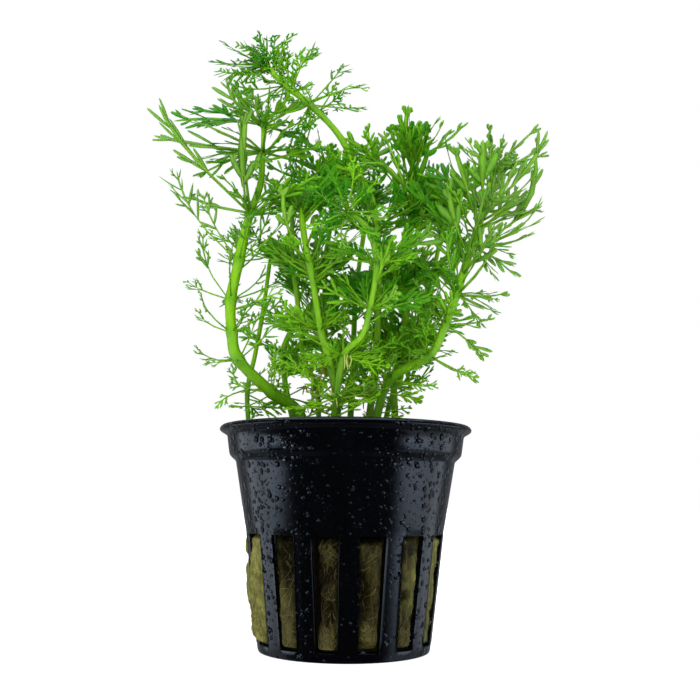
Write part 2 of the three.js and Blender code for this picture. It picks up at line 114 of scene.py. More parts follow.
# A material, or another tree of shader nodes.
class Finish:
    def __init__(self, name, tree=None):
        if tree is None:
            self.material = bpy.data.materials.new(name)
            self.material.use_nodes = True
            tree = self.material.node_tree
        self.tree = tree
        self.tree.nodes.clear()

    # Any node: its type, its settings, then the values or wires of its sockets.
    def node(self, kind, settings=None, sockets=(), output=0):
        made = self.tree.nodes.new(kind)
        for key, value in (settings or {}).items():
            if key == "stops":
                ramp = made.color_ramp.elements
                while len(ramp) < len(value):
                    ramp.new(0.5)
                for stop, (place, colour) in zip(ramp, value):
                    stop.position = place
                    stop.color = colour
            else:
                setattr(made, key, value)
        for key, value in sockets.items() if isinstance(sockets, dict) else enumerate(sockets):
            if isinstance(value, Wire):
                self.tree.links.new(value.socket, made.inputs[key])
            else:
                made.inputs[key].default_value = value
        return Wire(self, made.outputs[output]) if made.outputs else made

    def mixColours(self, share, first, second):
        sockets = {0: share, 6: first, 7: second}
        return self.node("ShaderNodeMix", {"data_type": "RGBA"}, sockets, output=2)

    def smooth(self, value, low, high):  # 0 below low, 1 above high, eased between
        sockets = {"Value": value, "From Min": low, "From Max": high}
        return self.node("ShaderNodeMapRange", {"interpolation_type": "SMOOTHSTEP"}, sockets)

    def noise(self, place, scale, detail=2.0, rough=0.5):
        sockets = {"Vector": place, "Scale": scale, "Detail": detail, "Roughness": rough}
        return self.node("ShaderNodeTexNoise", {}, sockets)

    def stretch(self, place, scale, turn=(0, 0, 0)):
        sockets = {"Vector": place, "Rotation": turn, "Scale": scale}
        return self.node("ShaderNodeMapping", {}, sockets)

    def places(self):
        return self.node("ShaderNodeTexCoord", output="Object")

    def split(self, vector):  # its three parts
        parts = self.node("ShaderNodeSeparateXYZ", {}, {0: vector}).socket.node
        return [Wire(self, output) for output in parts.outputs]

    def marks(self):  # the three values that a piece keeps for each of its points
        marks = self.node("ShaderNodeAttribute", {"attribute_name": "marks"}, output="Vector")
        return self.split(marks)

    def bump(self, height, distance, strength=1.0):
        sockets = {"Height": height, "Distance": distance, "Strength": strength}
        return self.node("ShaderNodeBump", {}, sockets)

    # The finished material: one shader, or two with the share of the second.
    def surface(self, sockets, share=None, second=None):
        shader = self.node("ShaderNodeBsdfPrincipled", {}, sockets)
        if second:
            shader = self.node("ShaderNodeMixShader", {}, {0: share, 1: shader, 2: second})
        self.node("ShaderNodeOutputMaterial", {}, {"Surface": shader})
        return self.material

    def letThrough(self, colour):  # light that shines through a thin leaf
        return self.node("ShaderNodeBsdfTranslucent", {}, {"Color": colour})


def rgb(red, green, blue):  # a colour as linear light
    return (red, green, blue, 1.0)


def unit(vectors):
    return vectors / np.maximum(np.linalg.norm(vectors, axis=-1, keepdims=True), 1e-12)


# Places round the pot's axis: a radius, a turn from the front to the right, and a height.
def around(radius, turns, heights):
    places = np.broadcast_arrays(radius * np.sin(turns), -radius * np.cos(turns), heights)
    return np.stack(places, -1)


# Whole arrays of points, quads and triangles go into one mesh object.
def makePiece(name, points, quads, triangles, material, marks=None):
    corners = np.concatenate([np.ravel(quads), np.ravel(triangles)]).astype(np.int32)
    sizes = np.concatenate([np.full(len(quads), 4), np.full(len(triangles), 3)])
    mesh = bpy.data.meshes.new(name)
    mesh.vertices.add(len(points))
    mesh.vertices.foreach_set("co", np.asarray(points, np.float32).ravel())
    mesh.loops.add(len(corners))
    mesh.loops.foreach_set("vertex_index", corners)
    mesh.polygons.add(len(sizes))
    mesh.polygons.foreach_set("loop_start", np.concatenate([[0], np.cumsum(sizes)[:-1]]))
    mesh.polygons.foreach_set("use_smooth", np.ones(len(sizes), bool))
    if marks is not None:
        layer = mesh.attributes.new("marks", "FLOAT_VECTOR", "POINT")
        layer.data.foreach_set("vector", np.asarray(marks, np.float32).ravel())
    mesh.update(calc_edges=True)
    mesh.materials.append(material)
    piece = bpy.data.objects.new(name, mesh)
    bpy.context.scene.collection.objects.link(piece)
    return piece


def handOver(piece, nodes=()):
    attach(piece, "root")
    if nodes:
        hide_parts(*nodes)


# A lumpy value at each place, mostly from -1 to 1: the sum of waves that run in random directions,
# over the root of their number.
def lumps(places, size, seed, waves=14):
    chance = np.random.default_rng(seed)
    ways = unit(chance.normal(size=(waves, 3))) * chance.uniform(0.7, 1.5, (waves, 1))
    phases = chance.uniform(0, 2 * np.pi, waves)
    return np.sin(places @ ways.T * (2 * np.pi / size) + phases).sum(-1) / math.sqrt(waves)


# A smooth line through its points: between each two of them a cubic whose slopes are half the
# step from the point before to the point after.
def smoothLine(points, steps):
    before = np.concatenate([[2 * points[0] - points[1]], points, [2 * points[-1] - points[-2]]])
    slopes = (before[2:] - before[:-2]) / 2
    t = np.linspace(0, 1, steps, endpoint=False)[None, :, None]
    start, end = points[:-1, None], points[1:, None]
    first, last = slopes[:-1, None], slopes[1:, None]
    line = (
        (2 * t**3 - 3 * t**2 + 1) * start
        + (t**3 - 2 * t**2 + t) * first
        + (3 * t**2 - 2 * t**3) * end
        + (t**3 - t**2) * last
    )
    return np.concatenate([line.reshape(-1, 3), points[-1:]])


# Rings of points round each point of a line, or of many lines: a point is its line's, plus the
# cosine of its turn times its radius to one side, plus the sine of it times its radius upwards.
def ringsRound(line, radii, hint):
    ahead = unit(np.gradient(line, axis=-2))
    side = unit(np.cross(ahead, hint))
    up = np.cross(side, ahead)
    turns = np.arange(radii.shape[-1]) * 2 * np.pi / radii.shape[-1]
    return (
        line[..., None, :]
        + side[..., None, :] * (np.cos(turns) * radii)[..., None]
        + up[..., None, :] * (np.sin(turns) * radii)[..., None]
    )


# Faces between each ring of a grid of points and the next one, all the way round.
def ringFaces(index):
    after = np.roll(index, -1, axis=-1)
    faces = [index[..., :-1, :], after[..., :-1, :], after[..., 1:, :], index[..., 1:, :]]
    return np.stack(faces, -1)


# Triangles from a ring to a pole at its head or, the other way round, at its foot.
def fan(ring, pole, foot=False):
    after = np.roll(ring, -1, axis=-1)
    first, second = (after, ring) if foot else (ring, after)
    return np.stack([first, second, np.broadcast_to(pole, ring.shape)], -1)


# A closed surface: rings of points, each joined to the next, and a pole at either end.
def closedRings(rings, foot, head):
    index = np.arange(rings[..., 0].size).reshape(rings.shape[:2])
    points = np.concatenate([rings.reshape(-1, 3), [foot, head]])
    ends = [fan(index[0], index.size, foot=True), fan(index[-1], index.size + 1)]
    return points, ringFaces(index).reshape(-1, 4), np.concatenate(ends)


# Joins several meshes, each its points, quads, triangles and marks, into one.
def joined(parts):
    starts = np.cumsum([0] + [len(part[0]) for part in parts[:-1]])
    points, quads, triangles, marks = zip(*parts)
    return (
        np.concatenate(points),
        np.concatenate([part + start for part, start in zip(quads, starts)]),
        np.concatenate([part + start for part, start in zip(triangles, starts)]),
        np.concatenate(marks),
    )


# Pot: one thick sheet that runs from the middle of the floor out and up to the lip. Its rows are
# rings (outer radius, outer height, inner radius, inner height); its columns follow the slots.
pot = {
    "bays": 14,
    "slotTurn": math.radians(15.4),  # from the front to the first slot on the right
    "slotHeights": (1.9, 23.9),
    "slotWidths": (4.2, 5.5),
    "wall": ((0, 23.9, 38.9), (17.9, 20.8, 23.4)),  # heights, and the outer radius at each
    "thick": 1.0,
    "floorTop": 1.2,
    "floorSlot": (6.5, 14.5, 2.4),  # from radius, to radius, width
    "floorSlotTurn": 0.185,  # the most that half a floor slot takes up
    "columns": 6,  # across a slot, and across a rib
    "hollow": 0.15,  # how far the middle of the underside stands off the table
    "edge": (0.16, math.radians(50)),  # rounding of the edges that turn by more than this
    "black": rgb(0.0004, 0.00045, 0.0007),
    "worn": rgb(0.0012, 0.0013, 0.0018),
    "beads": (  # spacing, largest radius, shift, and how many times as tall as wide
        (1.6, 0.9, 0.0, 1.0),
        (1.0, 0.56, 0.31, 1.0),
        (0.56, 0.25, 0.57, 1.0),
        (2.2, 0.36, 0.83, 3.2),
    ),
    "beadHeight": 0.8,
    "beadsInFront": 0.42,  # their size in the middle of the front, against the sides
    "front": (3.0, 14.0),  # how far off the middle their size grows, from and to
    "sheen": rgb(0.82, 0.97, 1.16),
}


def wallRadius(height):
    return np.interp(height, *pot["wall"])


def slotWidth(height):
    return np.interp(height, pot["slotHeights"], pot["slotWidths"])


floorRows = [(r, pot["hollow"], r, pot["floorTop"]) for r in (2.0, 5.4, 6.5, 9.2, 11.8, 14.5)]
floorRows.append((16.1, 0.0, 16.1, pot["floorTop"]))
cornerRows = [(17.35, 0.0, 16.5, 1.2), (17.72, 0.1, 16.75, 1.28), (17.9, 0.42, 16.92, 1.5)]
wallHeights = np.concatenate([np.linspace(*pot["slotHeights"], 12), np.linspace(25.4, 38.4, 9)])
wallRows = [(wallRadius(z), z, wallRadius(z) - pot["thick"], z) for z in wallHeights]
collarRows = [
    (23.42, 38.85, 22.42, 39.1),
    (23.62, 39.1, 22.6, 39.5),
    (24.35, 39.75, 23.4, 40.4),
    (24.72, 40.2, 23.78, 40.85),
    (24.86, 40.7, 23.9, 41.3),
    (25.1, 42.4, 24.2, 42.8),
    (25.34, 44.1, 24.5, 44.3),
    (25.55, 44.42, 24.68, 44.75),
    (26.2, 44.8, 25.0, 45.3),
    (26.72, 45.12, 25.5, 45.85),
    (26.93, 45.36, 25.9, 46.2),
    (26.99, 45.6, 26.1, 46.36),
    (26.9, 45.88, 26.25, 46.4),
    (26.7, 46.15, 26.38, 46.37),
]
potRows = np.array(floorRows + cornerRows + wallRows + collarRows)


# The sheet's two sides are grids of points. Faces in a slot are left out, and where a face that is
# kept meets one that isn't, a wall joins the two sides.
def potPiece(material):
    bays, columns = pot["bays"], pot["columns"]
    bay = 2 * math.pi / bays
    radius, height = potRows[:, 0], potRows[:, 1]
    onFloor = len(floorRows)
    floorFrom, floorTo, floorWidth = pot["floorSlot"]
    half = slotWidth(height) / 2 / radius
    half[:onFloor] = np.minimum(floorWidth / 2 / radius[:onFloor], pot["floorSlotTurn"])
    half = half[:, None]
    across = np.arange(columns) / columns
    inBay = np.concatenate([-half + 2 * half * across, half + (bay - 2 * half) * across], axis=1)
    turns = (inBay[:, None] + bay * np.arange(bays)[:, None]).reshape(len(potRows), -1)
    turns = turns + pot["slotTurn"]
    sheets = [around(potRows[:, [k]], turns, potRows[:, [k + 1]]).reshape(-1, 3) for k in (0, 2)]
    points = np.concatenate([*sheets, [[0, 0, 0], [0, 0, pot["floorTop"]]]])

    rows, cols = turns.shape
    inSlot = np.tile(np.arange(2 * columns) < columns, bays)
    evenBay = np.repeat(np.arange(bays) % 2 == 0, 2 * columns)
    low, high = pot["slotHeights"]
    middle = (height[1:] + height[:-1]) / 2
    reach = (radius[1:] + radius[:-1]) / 2
    wallCut = (middle > low) & (middle < high)
    floorCut = (np.arange(rows - 1) < onFloor) & (reach > floorFrom) & (reach < floorTo)
    keep = ~(wallCut[:, None] & inSlot | floorCut[:, None] & (inSlot & evenBay))

    inward = rows * cols  # from a point on the outer side to the one behind it
    index = np.arange(rows * cols).reshape(rows, cols)
    after = np.roll(index, -1, axis=1)
    outer = ringFaces(index)[keep]
    inner = outer[:, ::-1] + inward

    def wallAlong(first, second):
        return np.stack([first, second, second + inward, first + inward], -1)

    def wallUp(first, second):
        return np.stack([first, first + inward, second + inward, second], -1)

    belowCut = keep[1:] & ~keep[:-1]
    aboveCut = keep[:-1] & ~keep[1:]
    here, there = index[1:-1], after[1:-1]
    sills = wallAlong(there[belowCut], here[belowCut])
    lintels = wallAlong(here[aboveCut], there[aboveCut])
    leftKept = np.roll(keep, 1, axis=1)
    startCut = leftKept & ~keep
    endCut = keep & ~leftKept
    under, over = index[:-1], index[1:]
    starts = wallUp(over[startCut], under[startCut])
    ends = wallUp(under[endCut], over[endCut])
    lip = wallAlong(index[-1], after[-1])
    quads = np.concatenate([outer, inner, sills, lintels, starts, ends, lip])
    centres = [fan(index[0], 2 * inward, foot=True), fan(index[0] + inward, 2 * inward + 1)]
    piece = makePiece("net_pot_shell", points * mm, quads, np.concatenate(centres), material)
    rounding = piece.modifiers.new("rounding", "BEVEL")
    rounding.width = pot["edge"][0] * mm
    rounding.segments = 2
    rounding.limit_method = "ANGLE"
    rounding.angle_limit = pot["edge"][1]
    return piece


# Beads of wet: domes round the scattered points of a cell pattern, in a few sizes. A dome's height
# is its radius times one less the square of the share of the radius between it and the point.
def potFinish():
    finish = Finish("pot_plastic")
    place = finish.places()
    nearer, farther = [reach * mm for reach in pot["front"]]
    sideways = finish.smooth(abs(finish.split(place)[0]), nearer, farther)
    size = pot["beadsInFront"] + (1 - pot["beadsInFront"]) * sideways

    def beads(cell, largest, shift, tall):
        offset = (shift, shift * 0.7, 0)
        shifted = finish.node("ShaderNodeVectorMath", {"operation": "ADD"}, (place, offset))
        flattened = finish.stretch(shifted, (1, 1, 1 / tall))
        sockets = {"Vector": flattened, "Scale": 1 / (cell * mm), "Randomness": 1.0}
        far = finish.node("ShaderNodeTexVoronoi", {}, sockets) * cell
        tint = finish.node("ShaderNodeTexVoronoi", {}, sockets, output="Color")
        red = finish.node("ShaderNodeSeparateColor", {}, {0: tint})
        radius = largest * (red**1.2) * size
        share = (far / radius).atMost(1.0)
        return radius * (1 - share * share)

    wet = beads(*pot["beads"][0])
    for kind in pot["beads"][1:]:
        wet = wet.atLeast(beads(*kind))
    haze = finish.noise(place, 900.0, 3.0, 0.6)
    streak = finish.noise(finish.stretch(place, (260.0, 260.0, 40.0)), 1.0, 3.0)
    bead = {
        "Base Color": pot["black"],
        "Roughness": 0.05,
        "Normal": finish.bump(wet * (pot["beadHeight"] * mm), 1.0),
        "Specular IOR Level": 0.55,
        "Specular Tint": pot["sheen"],
    }
    dryOrSideLit = {
        "Base Color": finish.mixColours(streak, pot["black"], pot["worn"]),
        "Roughness": 0.2 + 0.1 * (streak - 0.5) + 0.08 * (haze - 0.5),
        "Normal": finish.bump(haze, 0.000012),
        "Specular IOR Level": 0.3,
        "Specular Tint": pot["sheen"],
    }
    wetness = finish.smooth(wet, 0.0, 0.04)
    return finish.surface(dryOrSideLit, wetness, finish.node("ShaderNodeBsdfPrincipled", {}, bead))


handOver(potPiece(potFinish()), ["net_pot"])
print("pot made")


# Rock wool: a lumpy plug that swells into the slots, has sunk in places, and has loose fibres.
wool = {
    "top": 36.0,
    "bottom": 1.5,
    "gap": 1.7,  # from the pot's outer face to the wool under a rib
    "proud": 1.5,  # how far it swells into a slot
    "slotPlay": (0.25, 0.2),  # by which the swelling is narrower than a slot, and ends before it
    "radius": 20.0,  # about; it turns angles into lengths
    "lump": 0.5,
    "lumps": (  # size, seed, share, and the scale of heights, which draws a lump out when under 1
        (6.0, 11, 0.4, 1.0),
        (2.4, 12, 0.3, 0.7),
        (1.1, 15, 0.16, 0.8),
    ),
    "hollows": (  # turn, height, half width, half height and depth of each place that has sunk
        (math.radians(-12.5), 21.5, 3.8, 7.0, 2.7),
        (math.radians(-16.5), 10.5, 1.5, 4.2, 2.8),
        (math.radians(14.0), 24.2, 4.0, 1.6, 3.0),
        (math.radians(-40.0), 25.0, 3.5, 2.4, 1.6),
        (math.radians(-34.0), 19.5, 2.8, 5.5, 2.4),
        (math.radians(11.0), 13.0, 1.6, 6.0, 1.6),
        (math.radians(12.0), 2.6, 3.0, 1.3, 1.6),
        (math.radians(-8.0), 9.0, 1.2, 3.0, 1.3),
        (math.radians(40.5), 25.2, 3.0, 1.8, 1.2),
        (math.radians(38.0), 12.5, 1.6, 1.0, 1.1),
        (math.radians(150.0), 23.5, 3.0, 3.0, 3.0),
        (math.radians(-120.0), 4.0, 3.5, 2.0, 2.0),
    ),
    "puff": (math.radians(-64), 8.0, 4.5, 7.0, 0.6),  # the same, where it stands proud of the pot
    "drape": (math.radians(-74.5), 10.5, 3.7, 15.0, 1.95),  # and where it hides a rib
    "slotColumns": 14,
    "ribColumns": 6,
    "paintedShadeDepth": 1.8,  # of a hollow, where its painted shade is full
    "footRings": (0.25, 0.5, 0.75, 0.93),  # shares of the radius
    "topRings": ((0.97, 0.9), (0.9, 0.3), (0.75, 0.0), (0.55, 0.0), (0.35, 0.0), (0.15, 0.0)),
    "fibres": 2600,
    "onTop": 520,  # of them
    "topReach": (18.5, 20.3),  # how far from the middle they start and end at most
    "fibreLength": (1.0, 4.5),
    "fibreLean": (0.15, 0.75),  # from upright, and its spread
    "fibreCurl": 1.2,
    "fibreHeights": (2.6, 23.3),
    "fibreBend": 19.0,  # radius that turns their way round the wool into an angle
    "fibreRadius": 0.02,
    "fibreColours": (rgb(0.012, 0.01, 0.0015), rgb(0.2, 0.18, 0.055)),
    "bunches": (  # slot, height, spread across and up, and number of fibres
        (12, 5.5, 0.05, 2.2, 260),
        (13, 4.0, 0.04, 1.6, 110),
        (13, 20.0, 0.05, 1.6, 60),
        (0, 4.5, 0.05, 1.8, 150),
        (1, 3.8, 0.05, 1.0, 90),
    ),
    "pale": rgb(0.036, 0.031, 0.0034),
    "olive": rgb(0.0115, 0.0095, 0.001),
    # dark of damp patches, and of the painted shade in the sunk places
    "dark": rgb(0.004, 0.0026, 0.0006),
    # pale colour of the painted light on the wool's sides
    "dryOrSideLit": rgb(0.235, 0.23, 0.052),
    "sideLightFrom": (11.5, 17.5),  # from the middle, where painted light from the side boxes makes the wool pale at the sides
}


def slotShare(turns, heights):  # 1 in the middle of a slot, 0 under a rib
    bay = 2 * math.pi / pot["bays"]
    off = (turns - pot["slotTurn"] + bay / 2) % bay - bay / 2
    narrower, shorter = wool["slotPlay"]
    inside = 1 - np.abs(off) * wallRadius(heights) / ((slotWidth(heights) - narrower) / 2)
    low, high = pot["slotHeights"]
    ends = np.clip(np.minimum(heights - low - shorter, high - shorter - heights) / 0.8, 0, 1)
    return np.clip(inside * 4, 0, 1) ** 0.6 * ends**0.6


def pit(turns, heights, turn, height, wide, tall, depth):  # rounded, with a flat middle
    off = (turns - turn + np.pi) % (2 * np.pi) - np.pi
    away = (off * wool["radius"] / wide) ** 2 + ((heights - height) / tall) ** 2
    return depth * np.exp(-(away**2))


def sunk(turns, heights):
    return sum(pit(turns, heights, *hollow) for hollow in wool["hollows"])


# Outer face of the wool: the pot's outside less a gap, plus the swelling in the slots, plus lumps,
# plus the two places that stand proud, less a rounded pit at each hollow.
def woolRadius(turns, heights):
    turns, heights = np.broadcast_arrays(turns, heights)
    places = around(wool["radius"], turns, heights)
    lump = sum(lumps(places * (1, 1, tall), *wave) * share for *wave, share, tall in wool["lumps"])
    share = slotShare(turns, heights)
    face = wallRadius(heights) - wool["gap"] + wool["proud"] * share
    face = face - wool["lump"] * np.clip(0.45 - lump, 0, 2) ** 1.2
    low, high = pot["slotHeights"]
    ends = np.clip(np.minimum(heights - low, high - heights) / 1.4, 0, 1) ** 0.5
    face = face + pit(turns, heights, *wool["puff"]) * share
    return face + pit(turns, heights, *wool["drape"]) * ends - sunk(turns, heights)


# The plug: an underside, a side of many rings whose columns follow the slots, and a lumpy top.
def woolPiece(material):
    bottom, top = wool["bottom"], wool["top"]
    bay = 2 * math.pi / pot["bays"]
    half = pot["slotWidths"][1] / 2 / wallRadius(pot["slotHeights"][1])
    inSlot = np.linspace(-half, half, wool["slotColumns"], endpoint=False)
    underRib = np.linspace(half, bay - half, wool["ribColumns"], endpoint=False)
    inBay = np.concatenate([inSlot, underRib])
    turns = (pot["slotTurn"] + bay * np.arange(pot["bays"])[:, None] + inBay).ravel()
    heights = np.concatenate([np.linspace(bottom + 0.9, 25, 66), np.linspace(25.6, 33.8, 14)])
    side = woolRadius(turns[None], heights[:, None])
    rows = [(side[0] * share, bottom + 0.5 * share**6) for share in wool["footRings"]]
    rows += list(zip(side, heights))
    rows += [(side[-1] * share, top - drop - 0.5) for share, drop in wool["topRings"]]
    radius = np.array([ring for ring, _ in rows])
    height = np.array([[z] for _, z in rows])
    rings = around(radius, turns, height)
    rise = lumps(rings, 5.0, 13) * 0.4 + lumps(rings, 1.9, 14) * 0.2
    rings[-5:, :, 2] += np.minimum(rise[-5:], 0.45)
    points, quads, triangles = closedRings(rings, [0, 0, bottom], [0, 0, top - 0.5])
    marks = np.zeros((len(points), 3))
    # Painted shade in the sunk places: the deeper, the darker.
    marks[:-2, 0] = (sunk(turns[None], height) / wool["paintedShadeDepth"]).ravel()
    return makePiece("rock_wool_plug", points * mm, quads, triangles, material, marks)


# Fibres: each an arc that starts on the wool and curls over its face, on the side or on the top.
# Those on the side lie in the slots. An arc's heading is its lean plus its curl times the share of
# its length from its middle.
def woolFibres():
    count = wool["fibres"]
    bay = 2 * np.pi / pot["bays"]
    slot = rng.integers(0, pot["bays"], count)
    turn = pot["slotTurn"] + slot * bay + rng.uniform(-0.1, 0.1, count)
    low, high = wool["fibreHeights"]
    height = low + 21 * rng.uniform(0, 1, count) ** 1.3
    first = wool["onTop"]
    for number, up, across, upSpread, many in wool["bunches"]:
        picked = slice(first, first + many)
        slot[picked] = number
        turn[picked] = pot["slotTurn"] + number * bay + rng.normal(0, across, many)
        height[picked] = np.clip(rng.normal(up, upSpread, many), low, high - 0.3)
        first += many
    lean = rng.normal(*wool["fibreLean"], count)[:, None]
    step = rng.uniform(*wool["fibreLength"], count)[:, None] / 6
    along = np.linspace(-0.5, 0.5, 7)
    angle = lean + rng.normal(0, wool["fibreCurl"], count)[:, None] * along
    rise = np.cumsum(np.cos(angle) * step, axis=1)
    aside = np.cumsum(np.sin(angle) * step, axis=1)
    rise, aside = rise - rise[:, 3:4], aside - aside[:, 3:4]

    z = np.clip(height[:, None] + rise, low, high)
    theta = turn[:, None] + aside / wool["fibreBend"]
    within = slotWidth(z) / 2 / wallRadius(z) - 0.012
    middle = pot["slotTurn"] + slot[:, None] * bay
    theta = middle + np.clip(theta - middle, -within, within)
    arch = np.cos(np.pi * along)
    lift = rng.uniform(-0.02, 0.12, (count, 1)) + 0.2 * arch * rng.uniform(0, 1, (count, 1)) ** 2
    side = around(woolRadius(theta, z) + lift, theta, z)

    starts, ends = wool["topReach"]
    reach = np.sqrt(rng.uniform(0, 1, count)) * starts
    centre = around(reach, rng.uniform(0, 2 * np.pi, count), 0)[:, None, :2]
    flat = centre + np.stack([aside, rise], -1)
    flat *= np.minimum(1, ends / np.maximum(np.linalg.norm(flat, axis=-1, keepdims=True), 0.1))
    topZ = wool["top"] - 0.35 + rng.uniform(-0.2, 0.3, (count, 1)) * arch
    top = np.concatenate([flat, topZ[..., None]], -1)
    return np.concatenate([top[: wool["onTop"]], side[wool["onTop"] :]])


# Many closed threads at once: a small ring at each point of each line, thinner towards its ends.
def threadMesh(lines, radius, sides=3):
    count, steps = lines.shape[:2]
    taper = np.sin(np.linspace(0.35, math.pi - 0.35, steps)) ** 0.5
    radii = (np.reshape(radius, (-1, 1)) * taper)[..., None] * np.ones(sides)
    rings = ringsRound(lines, radii, (0.3, 0.2, 0.93))
    index = np.arange(count * steps * sides).reshape(count, steps, sides)
    fans = [(0, k, k + 1) for k in range(1, sides - 1)]
    head = index[:, -1][:, fans].reshape(-1, 3)
    foot = index[:, 0][:, fans].reshape(-1, 3)[:, ::-1]
    return rings.reshape(-1, 3), ringFaces(index).reshape(-1, 4), np.concatenate([foot, head])


def threadFinish(name, colours, scale, detail, rough):
    finish = Finish(name)
    mottle = finish.noise(finish.places(), scale, detail)
    colour = finish.mixColours(mottle, *colours)
    return finish.surface({"Base Color": colour, "Roughness": rough + 0.2 * mottle})


def woolFinish():
    finish = Finish("rock_wool")
    place = finish.places()
    mottle = finish.noise(place, 420.0, 4.0, 0.65)
    drawn = finish.stretch(place, (2600.0, 2600.0, 700.0), (0.5, 0.2, 0))
    strand = finish.noise(drawn, 1.0, 5.0, 0.7)
    patch = finish.noise(place, 130.0, 3.0, 0.6)
    share = finish.smooth(mottle * 0.45 + strand * 0.55, 0.4, 0.64)
    # Painted light: towards the sides, which the side boxes light, the wool is pale and less damp.
    nearer, farther = [reach * mm for reach in wool["sideLightFrom"]]
    off = abs(finish.split(place)[0])
    dryOrSideLit = finish.smooth(off + (patch - 0.5) * 0.01, nearer, farther)
    pale = finish.mixColours(dryOrSideLit, wool["pale"], wool["dryOrSideLit"])
    olive = finish.mixColours(dryOrSideLit * 0.4, wool["olive"], wool["dryOrSideLit"])
    colour = finish.mixColours(share, olive, pale)
    damp = finish.smooth(patch * 0.65 + strand * 0.35, 0.53, 0.36) * (1 - 0.95 * dryOrSideLit)
    colour = finish.mixColours(damp, colour, wool["dark"])
    # Painted shade: the sunk places are darker the deeper they are.
    hollow = finish.smooth(finish.marks()[0] + strand * 0.4, 0.3, 1.0)
    colour = finish.mixColours(hollow * 0.9, colour, wool["dark"])
    return finish.surface(
        {
            "Base Color": colour,
            "Specular IOR Level": 0.25,
            "Roughness": 0.5 + 0.3 * strand,
            "Normal": finish.bump(strand * 0.6 + mottle * 0.4, 0.001, 0.9),
        }
    )


handOver(woolPiece(woolFinish()), ["rock_wool"])
fibreLines = woolFibres()
fibreRadii = wool["fibreRadius"] * (0.7 + 2.6 * rng.uniform(0, 1, wool["fibres"]) ** 5)
points, quads, triangles = threadMesh(fibreLines, fibreRadii)
fibreMaterial = threadFinish("rock_wool_fibre", wool["fibreColours"], 500.0, 2.0, 0.3)
fibrePiece = makePiece("rock_wool_fibres", points * mm, quads, triangles, fibreMaterial)
handOver(fibrePiece)
print("rock wool made")


# Reading the frame: a node's own points and the edges between them, in millimetres.
def welded(node):
    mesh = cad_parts[node].data
    places = np.empty(len(mesh.vertices) * 3, np.float32)
    mesh.vertices.foreach_get("co", places)
    corners = np.empty(len(mesh.loops), np.int32)
    mesh.loops.foreach_get("vertex_index", corners)
    points, index = np.unique(
        np.round(places.reshape(-1, 3) / mm, 3), axis=0, return_inverse=True
    )
    faces = index.ravel()[corners].reshape(-1, 3)
    edges = np.concatenate([faces[:, [0, 1]], faces[:, [1, 2]], faces[:, [2, 0]]])
    links = np.zeros((len(points), len(points)), bool)
    links[edges[:, 0], edges[:, 1]] = True
    return points, links | links.T


# Steps along the edges from one point to each of the others.
def stepsFrom(links, start):
    steps = np.full(len(links), -1)
    here = np.zeros(len(links), bool)
    here[start] = True
    count = 0
    while here.any():
        steps[here] = count
        here = links[here].any(0) & (steps < 0)
        count += 1
    return steps


# A stem's rings: its points lie one, two, three steps from the middle of an end, and only from
# there does every step but the last find a ring of as many points.
def stemRings(node):
    points, links = welded(node)
    found = [stepsFrom(links, start) for start in range(len(points))]
    steps = next(tried for tried in found if (np.bincount(tried)[1:-1] == stem["cadSides"]).all())
    rings = [points[steps == k] for k in range(1, steps.max())]
    centres = np.array([ring.mean(0) for ring in rings])
    radii = np.array([np.linalg.norm(ring - ring.mean(0), axis=1).mean() for ring in rings])
    if centres[0, 2] > centres[-1, 2]:
        centres, radii = centres[::-1], radii[::-1]
    return centres, radii


# The leaves of a whorl, as the middles of their feet, of their shoulders, and their tips: a leaf's
# tip is joined to its two shoulders alone, and they to the ring. The sheet's two sides are 0.5 mm
# apart, which pairs their points.
def leafLines(node):
    points, links = welded(node)
    spans = np.linalg.norm(points[:, None] - points[None], axis=-1)
    partner = np.argmax(links & (np.abs(spans - 0.5) < 0.03), axis=1)
    own = np.minimum(np.arange(len(points)), partner)
    names, sheet = np.unique(own, return_inverse=True)
    middle = (points[names] + points[partner[names]]) / 2
    joins = np.zeros((len(names), len(names)), bool)
    a, b = np.nonzero(links)
    joins[sheet[a], sheet[b]] = True
    np.fill_diagonal(joins, False)
    found = []
    for tip in np.nonzero(joins.sum(1) == 2)[0]:
        low, high = np.nonzero(joins[tip])[0]
        others = ~np.isin(np.arange(len(names)), [low, high, tip])
        ring = np.nonzero((joins[low] | joins[high]) & others)[0]
        if len(ring) == 2:
            found.append((middle[ring].mean(0), middle[[low, high]].mean(0), middle[tip]))
    return [np.array(part) for part in zip(*found)]


# Stems: each runs through the rings of its CAD stem, swells at its nodes and has fine ridges.
stem = {
    "cadSides": 6,
    "sides": 20,
    "girth": {"tall_left": 1.2, "front_centre": 0.88, "rim_left": 0.95},  # against the CAD stem's
    "ridges": 5,
    "ridgeDepth": 0.05,
    "nodeSwell": 0.22,
    "nodeLength": 1.1,
    "wander": (0.05, 9.0),  # of the girth: share, and length of its waves
    "endGirth": 0.4,
    "endLength": 2.0,  # how far from its end a stem starts to thin
    "crownTaper": {"tall_left": 28.0},  # the same, where the crown hides more of it
    "stepsBetween": 14,
    "green": rgb(0.16, 0.4, 0.004),
    # dark green of the painted shade at the stem's foot, under the leaves
    "foot": rgb(0.035, 0.15, 0.002),
    "footShadeHeights": (0.064, 0.046),  # heights between which the painted shade at the foot sets in
    "pale": rgb(0.28, 0.56, 0.012),
    "deep": rgb(0.07, 0.25, 0.004),
    "glow": rgb(0.42, 0.75, 0.03),
}
stemNames = sorted(node[len("stem_"):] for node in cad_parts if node.startswith("stem_"))
whorlNodes = {
    name: sorted(
        (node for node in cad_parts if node.startswith(f"leaves_{name}_")),
        key=lambda node: int(node.rsplit("_", 1)[1]),
    )
    for name in stemNames
}
stemLines = {}


def nearest(line, place):
    return np.argmin(np.linalg.norm(line - place, axis=1))


